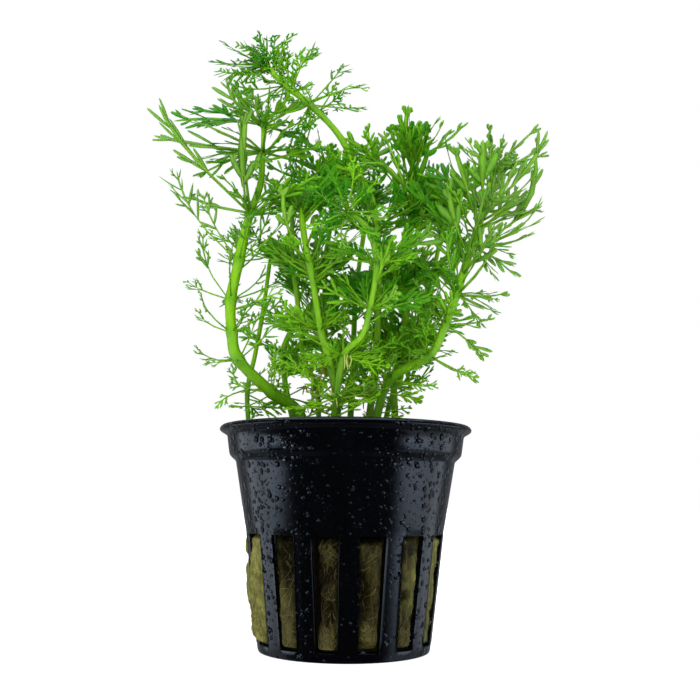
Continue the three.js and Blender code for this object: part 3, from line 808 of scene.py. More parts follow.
def stemFinish():
    finish = Finish("stem_green")
    place = finish.places()
    streak = finish.noise(finish.stretch(place, (1500.0, 1500.0, 120.0)), 1.0, 3.0, 0.6)
    patch = finish.noise(place, 160.0, 2.0)
    colour = finish.mixColours(finish.smooth(streak, 0.35, 0.75) * 0.6, stem["green"], stem["pale"])
    colour = finish.mixColours(finish.smooth(patch, 0.55, 0.35) * 0.3, colour, stem["deep"])
    colour = finish.mixColours(finish.marks()[0] * 0.5, colour, stem["deep"])
    # Painted shade: the stem darkens towards its foot, which the leaves above keep from the light.
    low = finish.smooth(finish.split(place)[2], *stem["footShadeHeights"])
    colour = finish.mixColours(low * 0.8, colour, stem["foot"])
    sockets = {
        "Base Color": colour,
        "Roughness": 0.34 + 0.14 * streak,
        "Normal": finish.bump(streak, 0.00004, 0.6),
    }
    return finish.surface(sockets, 0.2, finish.letThrough(stem["glow"]))


# A stem: a tube whose radius is the CAD's, times its girth, times a slow wander, times one plus the
# swelling near its nodes, times ridges that are cosines of the turn, thinner towards its end.
def stemPiece(name, material):
    centres, radii = stemRings(f"stem_{name}")
    steps, sides = stem["stepsBetween"], stem["sides"]
    line = smoothLine(centres, steps)
    radius = np.interp(np.arange(len(line)) / steps, np.arange(len(radii)), radii)
    stemLines[name] = (line, radius)
    bases = [leafLines(node)[0].mean(0) for node in whorlNodes[name]]
    nodes = [nearest(line, base) for base in bases]
    along = np.concatenate([[0], np.cumsum(np.linalg.norm(np.diff(line, axis=0), axis=1))])
    off = np.abs(along[:, None] - along[nodes][None]).min(1)
    nearNode = np.exp(-((off / stem["nodeLength"]) ** 2))
    turns = np.arange(sides) * 2 * np.pi / sides
    ridge = 1 + stem["ridgeDepth"] * np.cos(stem["ridges"] * turns)[None] * (1 - nearNode[:, None])
    depth, length = stem["wander"]
    wander = 1 + depth * lumps(line, length, 21)
    girth = stem["girth"].get(name, 1.0)
    full = (radius * girth * wander * (1 + stem["nodeSwell"] * nearNode))[:, None] * ridge
    thinning = (0, stem["crownTaper"].get(name, stem["endLength"]))
    full *= np.interp(along[-1] - along, thinning, (stem["endGirth"], 1))[:, None]
    rings = ringsRound(line, full, (0.31, 0.95, 0.05))
    points, quads, triangles = closedRings(rings, line[0], line[-1])
    marks = np.zeros((len(points), 3))
    marks[:-2, 0] = np.repeat(nearNode, sides)
    return makePiece(f"stalk_{name}", points * mm, quads, triangles, material, marks)


stemMaterial = stemFinish()
for name in stemNames:
    handOver(stemPiece(name, stemMaterial), [f"stem_{name}"])
print("stems made,", len(stemLines))


# Leaves. Each part of a leaf is a blade: a strip along a bent line, from a start past a bend to an
# end. Its section is a polygon of a few corners, as wide as the blade and as deep as it is thick,
# and its width follows a shape from its foot to just before its tip.
bladeKinds = {
    "wing": {"stations": (0.0, 0.22, 0.5, 0.78, 0.93), "shape": (0.3, 0.8, 1.0, 0.8, 0.5), "sides": 4},
    "lobe": {"stations": (0.0, 0.3, 0.65, 0.93), "shape": (0.42, 0.8, 1.0, 0.64), "sides": 4},
    "dart": {"stations": (0.0, 0.3, 0.6, 0.85), "shape": (0.6, 1.0, 0.85, 0.42), "sides": 4},
    "strand": {"stations": (0.0, 0.5, 0.82), "shape": (0.8, 1.0, 0.75), "sides": 3},
}

# The kinds of leaf, one in each column. Lobes leave the rib in pairs, at an angle to it, and carry
# side lobes. What isn't a count, an angle or a share is in millimetres.
leafNames = ("broad", "long", "medium", "young", "fine")
leafTable = {
    "gap": (4.4, 4.6, 3.0, 1.5, 2.2),  # along the rib from pair to pair
    "pairs": ((2, 3), (2, 3), (3, 4), (5, 7), (3, 4)),
    # shares of the rib at the lowest pair and at the highest
    "span": ((0.34, 0.8), (0.3, 0.7), (0.33, 0.82), (0.22, 0.9), (0.46, 0.88)),
    # lobe length at the lowest pair, a third of the way up and at the highest pair
    "outline": (
        (1.0, 0.95, 0.55), (1.0, 1.0, 0.7), (0.95, 1.0, 0.5), (0.75, 1.0, 0.4), (1.0, 0.95, 0.45)
    ),
    "reach": (0.36, 0.31, 0.4, 0.3, 0.32),  # longest lobe, as a share of the leaf's length
    "angle": ((18, 36), (12, 24), (22, 40), (30, 50), (24, 44)),
    "blade": ("lobe", "lobe", "lobe", "dart", "dart"),
    # of a lobe: a share of its length, and the least and the most
    "width": (
        (0.27, 1.1, 1.9), (0.15, 0.85, 1.3), (0.22, 0.8, 1.3), (0.18, 0.45, 0.7), (0.14, 0.48, 0.66)
    ),
    "sideAt": ((0.4, 0.62), (0.4,), (0.36, 0.58), (0.42,), (0.4, 0.65)),
    "sideShare": (0.35, 0.2, 0.55, 0.5, 0.7),  # how many of the side lobes are there
    "sideReach": (0.44, 0.42, 0.46, 0.5, 0.46),
    "sideAngle": ((20, 38), (12, 24), (22, 38), (24, 40), (28, 46)),
    "sideBlade": ("lobe", "lobe", "dart", "strand", "strand"),
    "sideWidth": (0.75, 0.75, 0.75, 0.85, 1.0),  # as a share of its lobe's
    "wing": (0.09, 0.055, 0.06, 0.045, 0.028),  # width of the rib's, as a share of the leaf's length
    "stalk": (0.7, 0.75, 0.5, 0.45, 0.42),
    "flat": (0.1, 0.12, 0.15, 0.14, 0.2),  # how far lobes leave the leaf's plane
    "thick": (0.22, 0.2, 0.17, 0.18, 0.22),
}
leafKinds = {
    name: {key: values[column] for key, values in leafTable.items()}
    for column, name in enumerate(leafNames)
}
# Chances and limits that all kinds share.
growth = {
    "shift": 0.3,  # of a lobe along the rib, as a share of the way between pairs
    "lengths": (0.72, 1.18),
    "widths": (0.85, 1.15),
    "sideLengths": (0.7, 1.15),
    "sideThick": 0.9,
    "turn": (0.05, 0.35),  # of a lobe towards the leaf's tip
    "stalkEnd": 0.62,
    "wingStart": 0.08,  # before the lowest pair
    "leastWing": 0.42,
}


# A bent line's place and heading at a share t of it: the place is (1-t)^2 times its start, plus
# 2t(1-t) times its bend, plus t^2 times its end.
def bent(start, bend, end, t):
    place = (1 - t) ** 2 * start + 2 * t * (1 - t) * bend + t**2 * end
    return place, unit((1 - t) * (bend - start) + t * (end - bend))


# Closed strips for one kind of blade: rings round the points of each line, a flat foot, and a tip.
def bladeMesh(kind, rows):
    start, bend, end, face, width, thick, marks = [np.concatenate(column) for column in zip(*rows)]
    t = np.array(kind["stations"])[None, :, None]
    line, ahead = bent(start[:, None], bend[:, None], end[:, None], t)
    side = unit(np.cross(face[:, None], ahead))
    up = np.cross(ahead, side)
    sides = kind["sides"]
    shape = np.array(kind["shape"])[:, None]
    turns = np.pi / 2 + np.arange(sides) * 2 * np.pi / sides
    wide = np.cos(turns) * shape * (width / 2)[:, None, None]
    deep = np.sin(turns) * np.sqrt(shape) * (thick / 2)[:, None, None]
    rings = line[:, :, None] + side[:, :, None] * wide[..., None] + up[:, :, None] * deep[..., None]
    count, stations = line.shape[:2]
    each = stations * sides + 1
    points = np.concatenate([rings.reshape(count, -1, 3), end[:, None]], 1)
    first = np.arange(count)[:, None] * each
    index = first[:, None] + np.arange(stations * sides).reshape(1, stations, sides)
    foot = index[:, 0][:, [(sides - 1, k, k - 1) for k in range(sides - 2, 0, -1)]]
    tip = fan(index[:, -1], first + each - 1)
    triangles = np.concatenate([foot.reshape(-1, 3), tip.reshape(-1, 3)])
    quads = ringFaces(index).reshape(-1, 4)
    return points.reshape(-1, 3), quads, triangles, np.repeat(marks, each, axis=0)


class Blades:
    def __init__(self):
        self.rows = {kind: [] for kind in bladeKinds}

    def add(self, kind, start, bend, end, face, width, thick, marks):
        count = len(start)
        width, thick = [np.broadcast_to(value, count) for value in (width, thick)]
        marks = np.broadcast_to(marks, (count, 3))
        self.rows[kind].append((start, bend, end, face, width, thick, marks))

    def mesh(self):
        used = [(bladeKinds[kind], rows) for kind, rows in self.rows.items() if rows]
        return joined([bladeMesh(kind, rows) for kind, rows in used])


# A rib is a start, a bend, an end, and the direction across it in the leaf's plane. Here are the
# point, the heading, the direction across and the face at some shares of its length.
def ribAt(rib, t):
    start, bend, end, side = rib
    place, ahead = bent(start, bend, end, np.asarray(t)[:, None])
    across = unit(side - ahead * (ahead @ side)[:, None])
    return place, ahead, across, np.cross(ahead, across)


# The same curve from one share of its length to another, as a start, a bend and an end.
def ribPart(rib, first, last):
    start, bend, end = rib[:3]

    def at(a, b):
        return np.atleast_2d((1 - a) * (1 - b) * start + (a + b - 2 * a * b) * bend + a * b * end)

    return at(first, first), at(first, last), at(last, last)


# Lobes leave a line at an angle, lift a little off the plane, and turn forward on the way.
def lobesFrom(place, ahead, across, face, angle, length, flat, chance):
    count = len(place)
    out = ahead * np.cos(angle)[:, None] + across * np.sin(angle)[:, None]
    out = unit(out + face * chance.normal(0, flat, (count, 1)))
    bend = place + out * (length * 0.5)[:, None]
    turn = chance.uniform(*growth["turn"], (count, 1))
    end = bend + unit(out * (1 - turn) + ahead * turn) * (length * 0.5)[:, None]
    return place, bend, end, unit(face + chance.normal(0, flat, (count, 3)))


# A leaf: a stalk, a winged rib, pairs of lobes along it and side lobes on those, to either side in
# turn. Marks say how much of a rib a part is, the leaf's lightness, which is a chance tone plus
# painted light and shade, and its greyness.
def growLeaf(blades, rib, kind, mark, chance):
    recipe = leafKinds[kind]
    size = np.linalg.norm(rib[2] - rib[0])
    first, last = recipe["span"]
    pairs = int(np.clip(round(size * (last - first) / recipe["gap"]), *recipe["pairs"]))
    count = pairs * 2
    along = np.linspace(0, 1, pairs).repeat(2)
    shift = chance.uniform(-growth["shift"], growth["shift"], count)
    t = first + (last - first) * along + shift * (last - first) / pairs
    sign = np.tile([1.0, -1.0], pairs)[:, None]
    length = size * recipe["reach"] * np.interp(along, (0, 0.35, 1), recipe["outline"])
    length = length * chance.uniform(*growth["lengths"], count)
    place, ahead, across, face = ribAt(rib, np.clip(t, 0.1, 0.95))
    angle = np.radians(chance.uniform(*recipe["angle"], count))
    flat, thick = recipe["flat"], recipe["thick"]
    lobes = lobesFrom(place, ahead, across * sign, face, angle, length, flat, chance)
    share, narrow, wide = recipe["width"]
    width = np.clip(length * share, narrow, wide) * chance.uniform(*growth["widths"], count)
    blades.add(recipe["blade"], *lobes, width, thick, mark)
    for number, at in enumerate(recipe["sideAt"]):
        there = chance.uniform(0, 1, count) < recipe["sideShare"]
        if not there.any():
            continue
        start, bend, end, turned = [part[there] for part in lobes]
        place, ahead = bent(start, bend, end, at)
        across = unit(np.cross(turned, ahead)) * sign[there] * (1 if number % 2 == 0 else -1)
        reach = length[there] * recipe["sideReach"] * (1.2 - 0.5 * at)
        reach = reach * chance.uniform(*growth["sideLengths"], there.sum())
        angle = np.radians(chance.uniform(*recipe["sideAngle"], there.sum()))
        sides = lobesFrom(place, ahead, across, turned, angle, reach, flat, chance)
        sideWidth = width[there] * recipe["sideWidth"]
        blades.add(recipe["sideBlade"], *sides, sideWidth, thick * growth["sideThick"], mark)
    face = ribAt(rib, [0.5])[3]
    stalk = recipe["stalk"]
    stalkMark, wingMark = [(share, *mark[1:]) for share in (1.0, 0.5)]
    blades.add("strand", *ribPart(rib, 0, growth["stalkEnd"]), face, stalk, stalk, stalkMark)
    wing = max(size * recipe["wing"], growth["leastWing"])
    blades.add("wing", *ribPart(rib, first - growth["wingStart"], 1), face, wing, thick, wingMark)


# What each stem's whorls carry besides the CAD leaves, from the foot up: the kind of leaf of each
# whorl (or of those left and right of the stem), how many leaves are added to it, to the stem's
# foot and to its crown, how far they spread down the stem towards the whorl below, how grey the
# outer leaves are, on how many whorls, from the foot up, the added leaves only point into the
# plant, and on how many none point at the viewer.
usualPlan = {"low": 5, "down": 0.1, "grey": 0.0, "inward": 0, "bare": 0, "buds": 9}
whorlPlan = {
    "tall_left": {"kinds": "fine fine fine fine fine long/medium long/broad medium/broad",
                  "added": 6, "addedOnTop": 3, "low": 4, "buds": 3,
                  "down": 0.05, "grey": 0.85, "inward": 8, "bare": 6},
    "arching": {"kinds": "medium medium medium medium fine fine young/fine",
                "added": 16, "low": 8, "grey": 0.1},
    "tall_right": {"kinds": "fine fine medium medium/long medium/long broad/long broad/long",
                   "added": 14, "down": 0.5, "grey": 0.9, "inward": 4},
    "front_centre": {"kinds": "fine fine medium medium fine", "added": 11, "low": 6, "bare": 5},
    "front_left": {"kinds": "fine medium medium broad",
                   "added": 24, "low": 6, "down": 0.3, "grey": 0.4, "bare": 4},
    "mid_right": {"kinds": "medium medium broad broad",
                  "added": 28, "low": 6, "down": 0.6, "grey": 0.3},
    "mid_left": {"kinds": "medium medium medium", "added": 25, "down": 0.35, "grey": 0.15},
    "rim_left": {"kinds": "fine fine", "added": 3, "low": 2, "down": 0.0, "inward": 2},
    "slender_left": {"kinds": "fine fine", "added": 5, "low": 4, "inward": 2},
    "back_centre": {"kinds": "medium medium medium", "added": 25, "down": 0.45, "grey": 0.1},
    "back_right": {"kinds": "medium medium", "added": 25, "down": 0.5, "grey": 0.1},
}
whorlPlan = {name: {**usualPlan, **plan} for name, plan in whorlPlan.items()}


def ownLeaf(tip, kind, grey, shade, bow=(0, 0, 1), start=None):
    return tip, kind, grey, shade, bow, start


# Leaves of the photograph that the CAD has no room for: tip, kind, greyness, lightness, which way
# the middle bows out, and start. Without a start the leaf grows from the middle of its whorl.
extraLeaves = {
    ("tall_left", 8): (
        ownLeaf((-38.5, -8, 112.5), "medium", 0.1, 0.15),
        ownLeaf((-35, -3, 117), "medium", 0.1, 0.1),
        ownLeaf((-31, -11, 110), "medium", 0.1, 0.15),
        ownLeaf((-25, -8, 121.5), "broad", 0.5, 0.4, (-1, 0, 0)),
        ownLeaf((-25, -15, 112), "broad", 0.6, 0.4),
        ownLeaf((-5, -8, 105), "broad", 0.0, 0.05),
    ),
    ("tall_left", 7): (
        ownLeaf((-21.5, -15, 112), "broad", 0.85, 0.5, (-1, -1, 0), (-21.5, -9, 91)),
        ownLeaf((-31, -6, 108), "broad", 0.3, 0.3),
        ownLeaf((-27.5, -8, 111), "broad", 0.3, 0.3),
        ownLeaf((-34, -9, 103), "medium", 0.4, 0.35),
        ownLeaf((-32.5, -10, 99), "medium", 0.4, 0.35),
        ownLeaf((-30, -10, 102), "medium", 0.3, 0.3),
        ownLeaf((-13, -13, 104), "broad", 0.1, 0.1),
        ownLeaf((-19, -17, 98), "broad", 0.5, 0.5, (0, -1, 1)),
    ),
    ("tall_left", 6): (
        ownLeaf((-15, -16, 95), "medium", 0.2, 0.2),
        ownLeaf((-24, -18, 93), "broad", 0.4, 0.4, (0, -1, 1)),
        ownLeaf((-27, -14, 98), "broad", 0.5, 0.4),
        ownLeaf((-20, -17, 87), "medium", 0.2, 0.2),
    ),
    ("tall_right", 5): (
        ownLeaf((36, -9, 82), "medium", 0.8, 0.5),
        ownLeaf((35.5, -12, 77), "medium", 0.8, 0.5),
        ownLeaf((31, -13, 76), "medium", 0.6, 0.5),
    ),
    ("tall_right", 4): (
        ownLeaf((31, -10, 70), "medium", 0.7, 0.5),
        ownLeaf((28, -12, 66), "medium", 0.5, 0.5),
        ownLeaf((33, -6, 73), "fine", 0.5, 0.5),
    ),
    ("front_left", 4): (
        ownLeaf((-12.8, -20, 93.5), "broad", 0.6, 0.9, (-1, -1, 0), (-10.8, -15, 83)),
        ownLeaf((-3, -17, 92), "broad", 0.1, 0.7, (0, -1, 1), (-8.5, -10, 84)),
    ),
    ("mid_right", 4): (
        ownLeaf((7.5, -17, 106), "broad", 0.5, 0.8, (0, -1, 0), (12.5, -11, 96)),
        ownLeaf((2.5, -18, 99), "broad", 0.5, 0.7, (0, -1, 2), (12, -12, 97)),
        ownLeaf((13.3, -5, 118.5), "broad", 0.2, 0.7, (0, 0, 0), (14.8, 5, 108)),
        ownLeaf((21, -2, 117), "broad", 0.0, 0.3, (0, 0, 1), (15, 5, 108)),
        ownLeaf((8, 0, 112.5), "medium", 0.1, 0.4, (0, 0, 0), (14.8, 7, 101)),
        ownLeaf((11, -7, 110), "medium", 0.0, 0.3, (0, 0, 0), (14.8, 7, 101)),
        ownLeaf((-1, -2, 111.5), "broad", 0.1, 0.6, (0, 0, 1), (12, 4, 103)),
        ownLeaf((2, -6, 108), "medium", 0.1, 0.5, (0, 0, 1), (12, 4, 101)),
        ownLeaf((18, -5, 108), "broad", 0.1, 0.2, (0, 0, 0), (14.8, 7, 100)),
        ownLeaf((4.5, 4, 112), "medium", 0.1, 0.5, (0, 0, 0), (14.8, 7, 101)),
    ),
    ("tall_right", 6): (
        ownLeaf((21, -14, 97), "broad", 0.55, 0.4, (-1, -1, 0), (25.5, -10, 82.5)),
        ownLeaf((22.5, -12, 106), "broad", 0.5, 0.5, (0, -1, 0), (27, -9, 92)),
        ownLeaf((42.6, 1, 110), "long", 1.0, 0.6, (3.5, 0, -2), (31, -1, 88)),
        ownLeaf((42.5, -6, 97), "long", 0.8, 0.5, (2, 0, -1), (30, -4, 86)),
        ownLeaf((42, -8, 103), "long", 0.9, 0.6, (1, 0, -1)),
        ownLeaf((40, 5, 100), "long", 0.7, 0.5, (1, 0, -1)),
    ),
    ("front_centre", 4): (
        ownLeaf((9, -24, 82.5), "broad", 0.3, 0.95, (0, -1, 0), (6, -20, 74)),
    ),
    ("arching", 7): (
        ownLeaf((-24.5, -9, 125.5), "young", 0.0, 0.1),
        ownLeaf((-23.5, -11, 129), "young", 0.0, 0.1),
        ownLeaf((-22.5, -6, 131), "young", 0.0, 0.1, (0, 0, 0)),
        ownLeaf((-24, -8, 122.5), "young", 0.0, 0.1),
        ownLeaf((-21.5, -14, 127), "young", 0.0, 0.05),
    ),
}
leafColours = {
    "dark": rgb(0.018, 0.19, 0.004),
    "light": rgb(0.24, 0.55, 0.015),
    "grey": rgb(0.195, 0.34, 0.062),
    "spot": rgb(0.03, 0.15, 0.002),
    "rib": rgb(0.28, 0.54, 0.02),
    "glow": rgb(0.35, 0.84, 0.015),
}
# How grey and how light a leaf is, by where its tip lies. Lighter outside the plant and low down
# is painted light, and darker inside is painted shade.
leafShade = {
    "middle": 2.0,  # of the plant, across
    "greyFrom": (12.0, 20.0),  # off the middle where greyness sets in, and over how far
    "greySpread": 0.1,
    "oddGrey": (0.08, 0.3, 0.7),  # share of leaves that are greyer, and by how much
    "plantRadius": 28.0,
    "light": (0.62, 0.25),  # most in the plant's middle, and what painted light adds outside
    "young": 0.4,  # of that, for a young leaf
    "low": (0.7, 78.0, 22.0),  # painted light on low leaves: how much, below which height, over how far
}
lowest, highest = [np.array(corner) / mm for corner in cadBox]


def leafFinish():
    finish = Finish("leaf_green")
    place = finish.places()
    rib, random, grey = finish.marks()
    patch = finish.noise(place, 120.0, 3.0, 0.6)
    fine = finish.noise(place, 1400.0, 2.0, 0.6)
    # Lightness: a chance tone, plus painted light outside the plant and low down, painted shade
    # inside.
    shade = finish.smooth(random * 0.8 + patch * 0.2, 0.1, 0.9)
    green = finish.mixColours(shade, leafColours["dark"], leafColours["light"])
    green = finish.mixColours(grey, green, leafColours["grey"])
    green = finish.mixColours(finish.smooth(fine, 0.35, 0.7) * 0.2, green, leafColours["spot"])
    sockets = {
        "Base Color": finish.mixColours(rib * 0.45, green, leafColours["rib"]),
        "Roughness": 0.42 + 0.16 * fine,
        "Specular IOR Level": 0.15,
        "Normal": finish.bump(fine, 0.00006, 0.6),
    }
    return finish.surface(sockets, 0.36, finish.letThrough(leafColours["glow"]))


# Where a point stands in the photographed outline: across and up, for one unit of distance.
def seen(points):
    away = np.asarray(points) - camera["place"]
    return away[..., [0, 2]] / away[..., 1:2]


# Parts of the view, between two opposite corners, where the photographed foliage is open.
airyPlaces = [
    (seen((-24.5, 0, 57)), seen((-17, 0, 88))),
    (seen((-23.5, 0, 113.5)), seen((-15.5, 0, 121))),
]
lowLimits = (seen((-30, 0, 46)), seen((26, 0, 72)))  # where leaves at a stem's foot may end
room = {
    "margin": 1.0,  # from a leaf's tip to the CAD box
    "aboveRim": 49.0,
    "insideRim": (21.0, 41.0),  # or within this radius and above this height
    "rounding": 1.2,  # 1 keeps to an ellipse in the outline's rectangle, 2 lets the corners in
    "lobeMargin": 0.05,  # from any point of a leaf to the CAD box
}


# Whether a leaf has room: inside the CAD box, clear of the pot's rim, and inside a rounded
# rectangle of the outline, which a whorl's own leaves give.
def hasRoom(tip, corner, opposite):
    inside = (tip > lowest + room["margin"]).all() and (tip < highest - room["margin"]).all()
    radius, height = room["insideRim"]
    inPot = np.hypot(tip[0], tip[1]) < radius and tip[2] > height
    off = (seen(tip) - (corner + opposite) / 2) / (opposite - corner) * 2
    near = off @ off < room["rounding"] and (np.abs(off) < 1).all()
    return inside and (tip[2] > room["aboveRim"] or inPot) and near


# The directions square to a stem's axis, by the turn round it.
def levelWays(axis):
    across = unit(np.cross(axis, (0.2, 0.9, 0.1)))
    upward = np.cross(across, axis)
    return lambda turn: across * math.cos(turn) + upward * math.sin(turn)


# Leaves round a stretch of stem, at random: each starts on the stem, and its heading is a level
# one times the root of 1 less the square of its lean, plus the axis times its lean. With inward
# none points out of the plant, and with bare none points at the viewer.
def leavesRound(stretch, radius, rise, spread, sizes, limits, inward, bare, count, chance):
    axis = unit(stretch[-1] - stretch[0])
    levelAt = levelWays(axis)
    found = []
    for _ in range(count * 5):
        centre = stretch[chance.integers(len(stretch))]
        level = levelAt(chance.uniform(0, 2 * np.pi))
        lean = np.clip(chance.normal(rise, spread), -0.45, 0.95)
        way = level * math.sqrt(1 - lean**2) + axis * lean
        size = chance.uniform(*sizes)
        begin = centre + level * radius * 0.6
        end = centre + way * size
        outward = way[:2] @ centre[:2] > 0.1 * np.hypot(*centre[:2])
        atViewer = way[1] < -0.15 and abs(way[0]) < 0.6
        airy = any(np.all((seen(end) > low) & (seen(end) < high)) for low, high in airyPlaces)
        if (inward and outward) or (bare and atViewer) or airy:
            continue
        if hasRoom(end, *limits):
            bend = (begin + end) / 2 + level * size * chance.uniform(0, 0.18)
            found.append((begin, bend + np.cross(way, axis) * size * chance.normal(0, 0.09), end))
        if len(found) == count:
            break
    return found


# A stem's crown: short young leaves that stand close round its end, each a little lower.
def budLeaves(line, count, limits, chance):
    axis = unit(line[-1] - line[-8])
    levelAt = levelWays(axis)
    turns = np.arange(count) * 2.4 + chance.uniform(0, 6)
    found = []
    for k, turn in enumerate(turns):
        level = levelAt(turn)
        rise = 0.97 - 0.45 * k / count
        way = level * math.sqrt(1 - rise**2) + axis * rise
        foot = line[-1] - axis * k * 0.3
        end = foot + way * chance.uniform(4.0, 7.5)
        if hasRoom(end, *limits):
            found.append((foot, (foot + end) / 2 + level * 0.9, end))
    return found


# All leaves of a whorl, each a start, a bend, a tip, a kind, and a greyness and a lightness if it
# has its own: the CAD's, those added round the stem, those at the stem's foot for the lowest
# whorl, its crown for the highest, and the photograph's own. Also the whorl's point on its line,
# and the stem's heading there.
def whorlLeaves(name, number, below, chance):
    line, radius = stemLines[name]
    plan = whorlPlan[name]
    kinds = plan["kinds"].split()
    sides = kinds[number - 1].split("/")
    bases, mids, tips = leafLines(whorlNodes[name][number - 1])
    at = nearest(line, bases.mean(0))
    centre = line[at]
    axis = unit(line[min(at + 3, len(line) - 1)] - line[max(at - 3, 0)])
    spans = np.linalg.norm(tips - centre, axis=1)
    rise = ((tips - centre) @ axis / spans).mean()
    limits = (seen(tips).min(0) - 0.015, seen(tips).max(0))

    def kindAt(tip):
        return sides[0] if tip[0] < centre[0] else sides[-1]

    leaves = []
    for base, mid, tip in zip(bases, mids, tips):
        begin = centre + unit(base - centre) * radius[at] * 0.6
        leaves.append((begin, 2 * mid - (begin + tip) / 2, tip, kindAt(tip)))

    last = number == len(kinds)
    drop = int(plan["down"] * max(at - below, 0))
    stretch = line[max(at - 4 - drop, 0) : at + (4 if last else 2)]
    sizes = (spans.mean() * 0.5, spans.mean() * 0.95)
    onTop = number > len(kinds) - 2
    many = plan["addedOnTop"] if onTop and "addedOnTop" in plan else plan["added"]
    inward, bare = number <= plan["inward"], number <= plan["bare"]
    for begin, bend, tip in leavesRound(
        stretch, radius[at], rise * 0.7, 0.36, sizes, limits, inward, bare, many, chance
    ):
        kind = kindAt(tip)
        if kind in ("broad", "long") and chance.uniform() < 0.5:
            kind = "medium"
        leaves.append((begin, bend, tip, kind))

    if number == 1:
        above = line[(line[:, 2] > 46) & (line[:, 2] < max(centre[2] - 2, 50))]
        for added in leavesRound(
            above, radius[0], 0.25, 0.35, (7, 13), lowLimits, False, True, plan["low"], chance
        ):
            leaves.append((*added, "medium" if chance.uniform() < 0.5 else "fine"))
    if last:
        leaves += [(*bud, "young") for bud in budLeaves(line, plan["buds"], limits, chance)]
    leaves = [(*leaf, None, None) for leaf in leaves]
    for tip, kind, grey, shade, bow, start in extraLeaves.get((name, number), ()):
        start, tip = np.array(centre if start is None else start), np.array(tip)
        leaves.append((start, (start + tip) / 2 + np.array(bow) * 2, tip, kind, grey, shade))
    return leaves, at, axis


# A leaf's chance greyness and lightness: greyer to the sides, and lighter outside and low down
# by painted light.
def chanceShade(tip, kind, usualGrey, chance):
    off = tip[0] - leafShade["middle"]
    start, width = leafShade["greyFrom"]
    grey = usualGrey * np.clip((abs(off) - start) / width, 0, 1)
    grey = grey + chance.normal(0, leafShade["greySpread"])
    share, least, most = leafShade["oddGrey"]
    if chance.uniform() < share:
        grey += chance.uniform(least, most)
    depth = np.clip(np.hypot(off, tip[1]) / leafShade["plantRadius"], 0, 1)
    inside, outside = leafShade["light"]
    shade = chance.uniform() * (inside + outside * depth)
    shade *= leafShade["young"] if kind == "young" else 1
    gain, height, over = leafShade["low"]
    return grey, shade + gain * np.clip((height - tip[2]) / over, 0, 1)


# A whorl's mesh. A leaf's face is turned at random between the stem's heading and the viewer.
def whorlMesh(leaves, axis, usualGrey, chance):
    blades = Blades()
    for begin, bend, tip, kind, ownGrey, ownShade in leaves:
        looks = axis * 0.5 + np.array((0, -0.8, 0.3)) + chance.normal(0, 0.4, 3)
        side = unit(np.cross(looks, unit(tip - begin)))
        grey, shade = chanceShade(tip, kind, usualGrey, chance)
        if ownGrey is not None:
            grey, shade = ownGrey, ownShade
        mark = (0.0, shade, float(np.clip(grey, 0, 1)))
        growLeaf(blades, (begin, bend, tip, side), kind, mark, chance)
    points, quads, triangles, marks = blades.mesh()
    points = np.clip(points, lowest + room["lobeMargin"], highest - room["lobeMargin"])
    return points * mm, quads, triangles, marks


leafMaterial = leafFinish()
leafTotal = 0
for name in stemNames:
    below = np.argmin(np.abs(stemLines[name][0][:, 2] - 52))
    for number, node in enumerate(whorlNodes[name], 1):
        chance = np.random.default_rng(int(rng.integers(1 << 30)))
        leaves, below, axis = whorlLeaves(name, number, below, chance)
        points, quads, triangles, marks = whorlMesh(leaves, axis, whorlPlan[name]["grey"], chance)
        title = f"whorl_{name}_{number}"
        handOver(makePiece(title, points, quads, triangles, leafMaterial, marks), [node])
        leafTotal += len(quads) * 2 + len(triangles)
print("leaves made,", leafTotal, "triangles")


# Rootlets on the front stem and withered bits at the foot of the plant: bundles of bent threads.
tufts = {  # middle, spread of the starts, number, lengths, direction, scatter of it, thickness
    "rootlets": (
        ((0.2, -13.9, 60.0), 0.25, 4, (2.5, 5.0), (0.3, -0.3, -1.0), 0.25, 0.13),
        ((-1.8, -10.6, 51.8), 0.3, 7, (1.6, 3.0), (0.1, -0.5, -0.2), 0.9, 0.15),
    ),
    "withered_bits": (
        ((-6.0, -5.5, 52.5), 1.6, 9, (1.5, 4.0), (0.0, -0.3, 0.4), 0.9, 0.17),
        ((-4.0, -6.0, 56.5), 1.3, 5, (1.5, 3.5), (0.0, -0.3, -0.2), 0.9, 0.15),
        ((3.5, -6.5, 50.0), 1.6, 5, (1.5, 3.0), (0.2, -0.3, 0.2), 0.9, 0.15),
    ),
}
tuftColours = {
    "rootlets": (rgb(0.5, 0.5, 0.16), rgb(0.36, 0.5, 0.08)),
    "withered_bits": (rgb(0.12, 0.05, 0.012), rgb(0.26, 0.16, 0.03)),
}


# Threads from scattered starts: each runs straight, plus a bow that is the sine of the share of it.
def tuftLines(middle, spread, count, lengths, way, scatter):
    start = np.array(middle) + rng.normal(0, spread, (count, 3))
    ahead = unit(np.array(way) + rng.normal(0, scatter, (count, 3)))
    across = unit(np.cross(ahead, rng.normal(0, 1, (count, 3))))
    length = rng.uniform(*lengths, (count, 1, 1))
    along = np.linspace(0, 1, 7)[None, :, None]
    bow = rng.uniform(0.1, 0.35, (count, 1, 1)) * np.sin(along * math.pi)
    return start[:, None] + length * (ahead[:, None] * along + across[:, None] * bow)


for name, bundles in tufts.items():
    lines = np.concatenate([tuftLines(*bundle[:-1]) for bundle in bundles])
    thick = np.concatenate([np.full(bundle[2], bundle[-1]) for bundle in bundles])
    points, quads, triangles = threadMesh(lines, thick, sides=5)
    material = threadFinish(name, tuftColours[name], 700.0, 3.0, 0.45)
    handOver(makePiece(name, points * mm, quads, triangles, material))
print("tufts made")


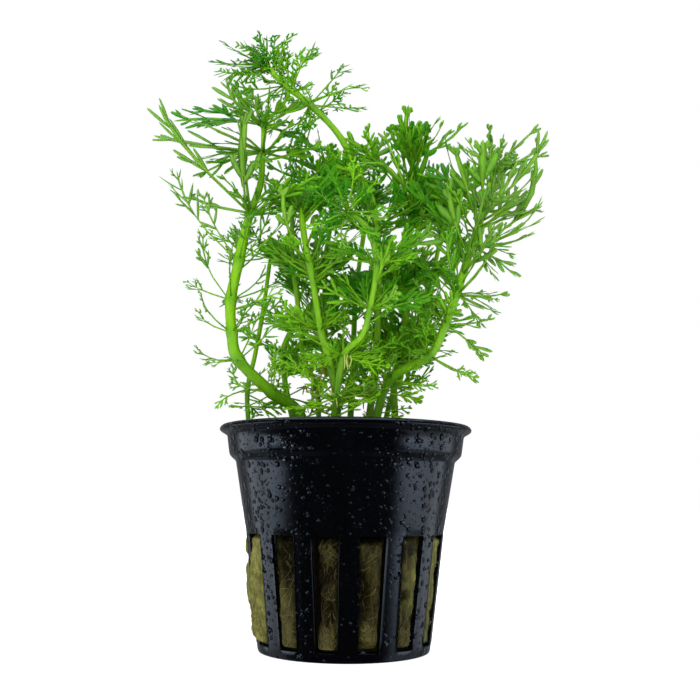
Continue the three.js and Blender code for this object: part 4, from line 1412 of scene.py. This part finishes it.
# Floor and light: a soft box on either side and one above, in a room that is dark in front. Places
# in the room are directions: how far behind (1) or in front (-1) they lie, and how high.
studio = {
    "floorReach": 6.0,
    "floor": (rgb(0.88, 0.88, 0.88), rgb(0.9, 0.9, 0.9)),
    "floorGlow": 0.6,
    "front": 0.004,
    "frontEnd": (-0.5, -0.1),
    "room": 0.1,  # to the sides, between the boxes
    "backStart": (0.6, 0.9),
    "back": 0.2,
    "left": (-0.01, 0.12, 0.42, 5.5),  # where the box starts and is full, its light, its slant
    "right": (-0.5, -0.36, 0.34, 1.2),
    "seam": 0.05,  # half the width in which the left box's side gives way to the right one's
    "boxNear": (0.3, -0.35, 2.4),  # between these, to the front, light grows this many times
    "boxEnd": (0.5, 0.65),
    "boxFoot": (-0.8, -0.65),
    "boxStep": (-0.31, -0.22, 4.2),  # between these heights light grows this many times
    "boxTop": (-0.08, 0.06),
    "top": (0.72, 0.8, 2.2),
    "background": 1.0,
    "tint": rgb(0.92, 0.98, 1.08),  # of all light but the background's
    "aim": (0, 0, 0.08),
    "lamps": {  # place, size and power of each; the black pot doesn't mirror them
        "behind": ((0.1, 0.95, 0.45), 0.9, 5.0),
        "front": ((-0.15, -0.95, 0.25), 0.8, 12.2),
    },
}


def floorFinish():
    finish = Finish("studio_floor")
    grain = finish.noise(finish.places(), 30.0, 3.0)
    return finish.surface(
        {
            "Base Color": finish.mixColours(grain, *studio["floor"]),
            "Roughness": 0.8,
            "Specular IOR Level": 0.2,
            "Emission Color": rgb(1, 1, 1),
            "Emission Strength": studio["floorGlow"],
        }
    )


# The light from each direction: the room's, plus that of the two boxes, plus that of the top.
def roomLight(sky):
    across, back, up = sky.split(sky.node("ShaderNodeTexCoord", output="Generated"))
    behind = back / (1 - up * up).atLeast(0.02) ** 0.5
    band = sky.smooth(up, *studio["boxFoot"]) * (1 - sky.smooth(up, *studio["boxTop"]))
    band = band * (1 - sky.smooth(behind, *studio["boxEnd"]))
    stepFoot, stepTop, gain = studio["boxStep"]
    rise = (up - stepFoot).atLeast(0.0).atMost(stepTop - stepFoot)
    band = band * (1 + rise * ((gain - 1) / (stepTop - stepFoot)))
    farEnd, nearEnd, gain = studio["boxNear"]
    band = band * (1 + sky.smooth(behind, farEnd, nearEnd) * (gain - 1))

    def box(share, start, full, light, slant):
        return sky.smooth(behind + rise * slant, start, full) * share * light

    onRight = sky.smooth(across, -studio["seam"], studio["seam"])
    boxes = box(1 - onRight, *studio["left"]) + box(onRight, *studio["right"])
    front, room, farBack = studio["front"], studio["room"], studio["back"]
    walls = front + sky.smooth(behind, *studio["frontEnd"]) * (room - front)
    walls = walls + sky.smooth(behind, *studio["backStart"]) * (farBack - room)
    topStart, topFull, topLight = studio["top"]
    return walls + band * boxes + sky.smooth(up, topStart, topFull) * topLight


corners = np.array([[-1, -1, 0], [1, -1, 0], [1, 1, 0], [-1, 1, 0]]) * studio["floorReach"]
noFaces = np.zeros((0, 3), int)
floorObject = makePiece("studio_floor", corners, np.array([[0, 1, 2, 3]]), noFaces, floorFinish())
floorObject.visible_glossy = False

world = bpy.data.worlds.new("studio")
bpy.context.scene.world = world
world.use_nodes = True
sky = Finish("studio", world.node_tree)
direct = sky.node("ShaderNodeLightPath", output="Is Camera Ray")
strength = roomLight(sky) * (1 - direct) + direct * studio["background"]
tint = sky.mixColours(direct, studio["tint"], rgb(1, 1, 1))
glow = sky.node("ShaderNodeBackground", {}, {"Color": tint, "Strength": strength})
sky.node("ShaderNodeOutputWorld", {}, {"Surface": glow})

for name, (place, size, power) in studio["lamps"].items():
    lampData = bpy.data.lights.new(f"lamp_{name}", "AREA")
    lampData.size = size
    lampData.energy = power
    lamp = bpy.data.objects.new(f"lamp_{name}", lampData)
    lamp.location = place
    aim = Vector(studio["aim"]) - lamp.location
    lamp.rotation_euler = aim.to_track_quat("-Z", "Y").to_euler()
    lamp.visible_glossy = False
    bpy.context.scene.collection.objects.link(lamp)
bpy.context.scene.view_settings.view_transform = "Standard"
print("studio made")
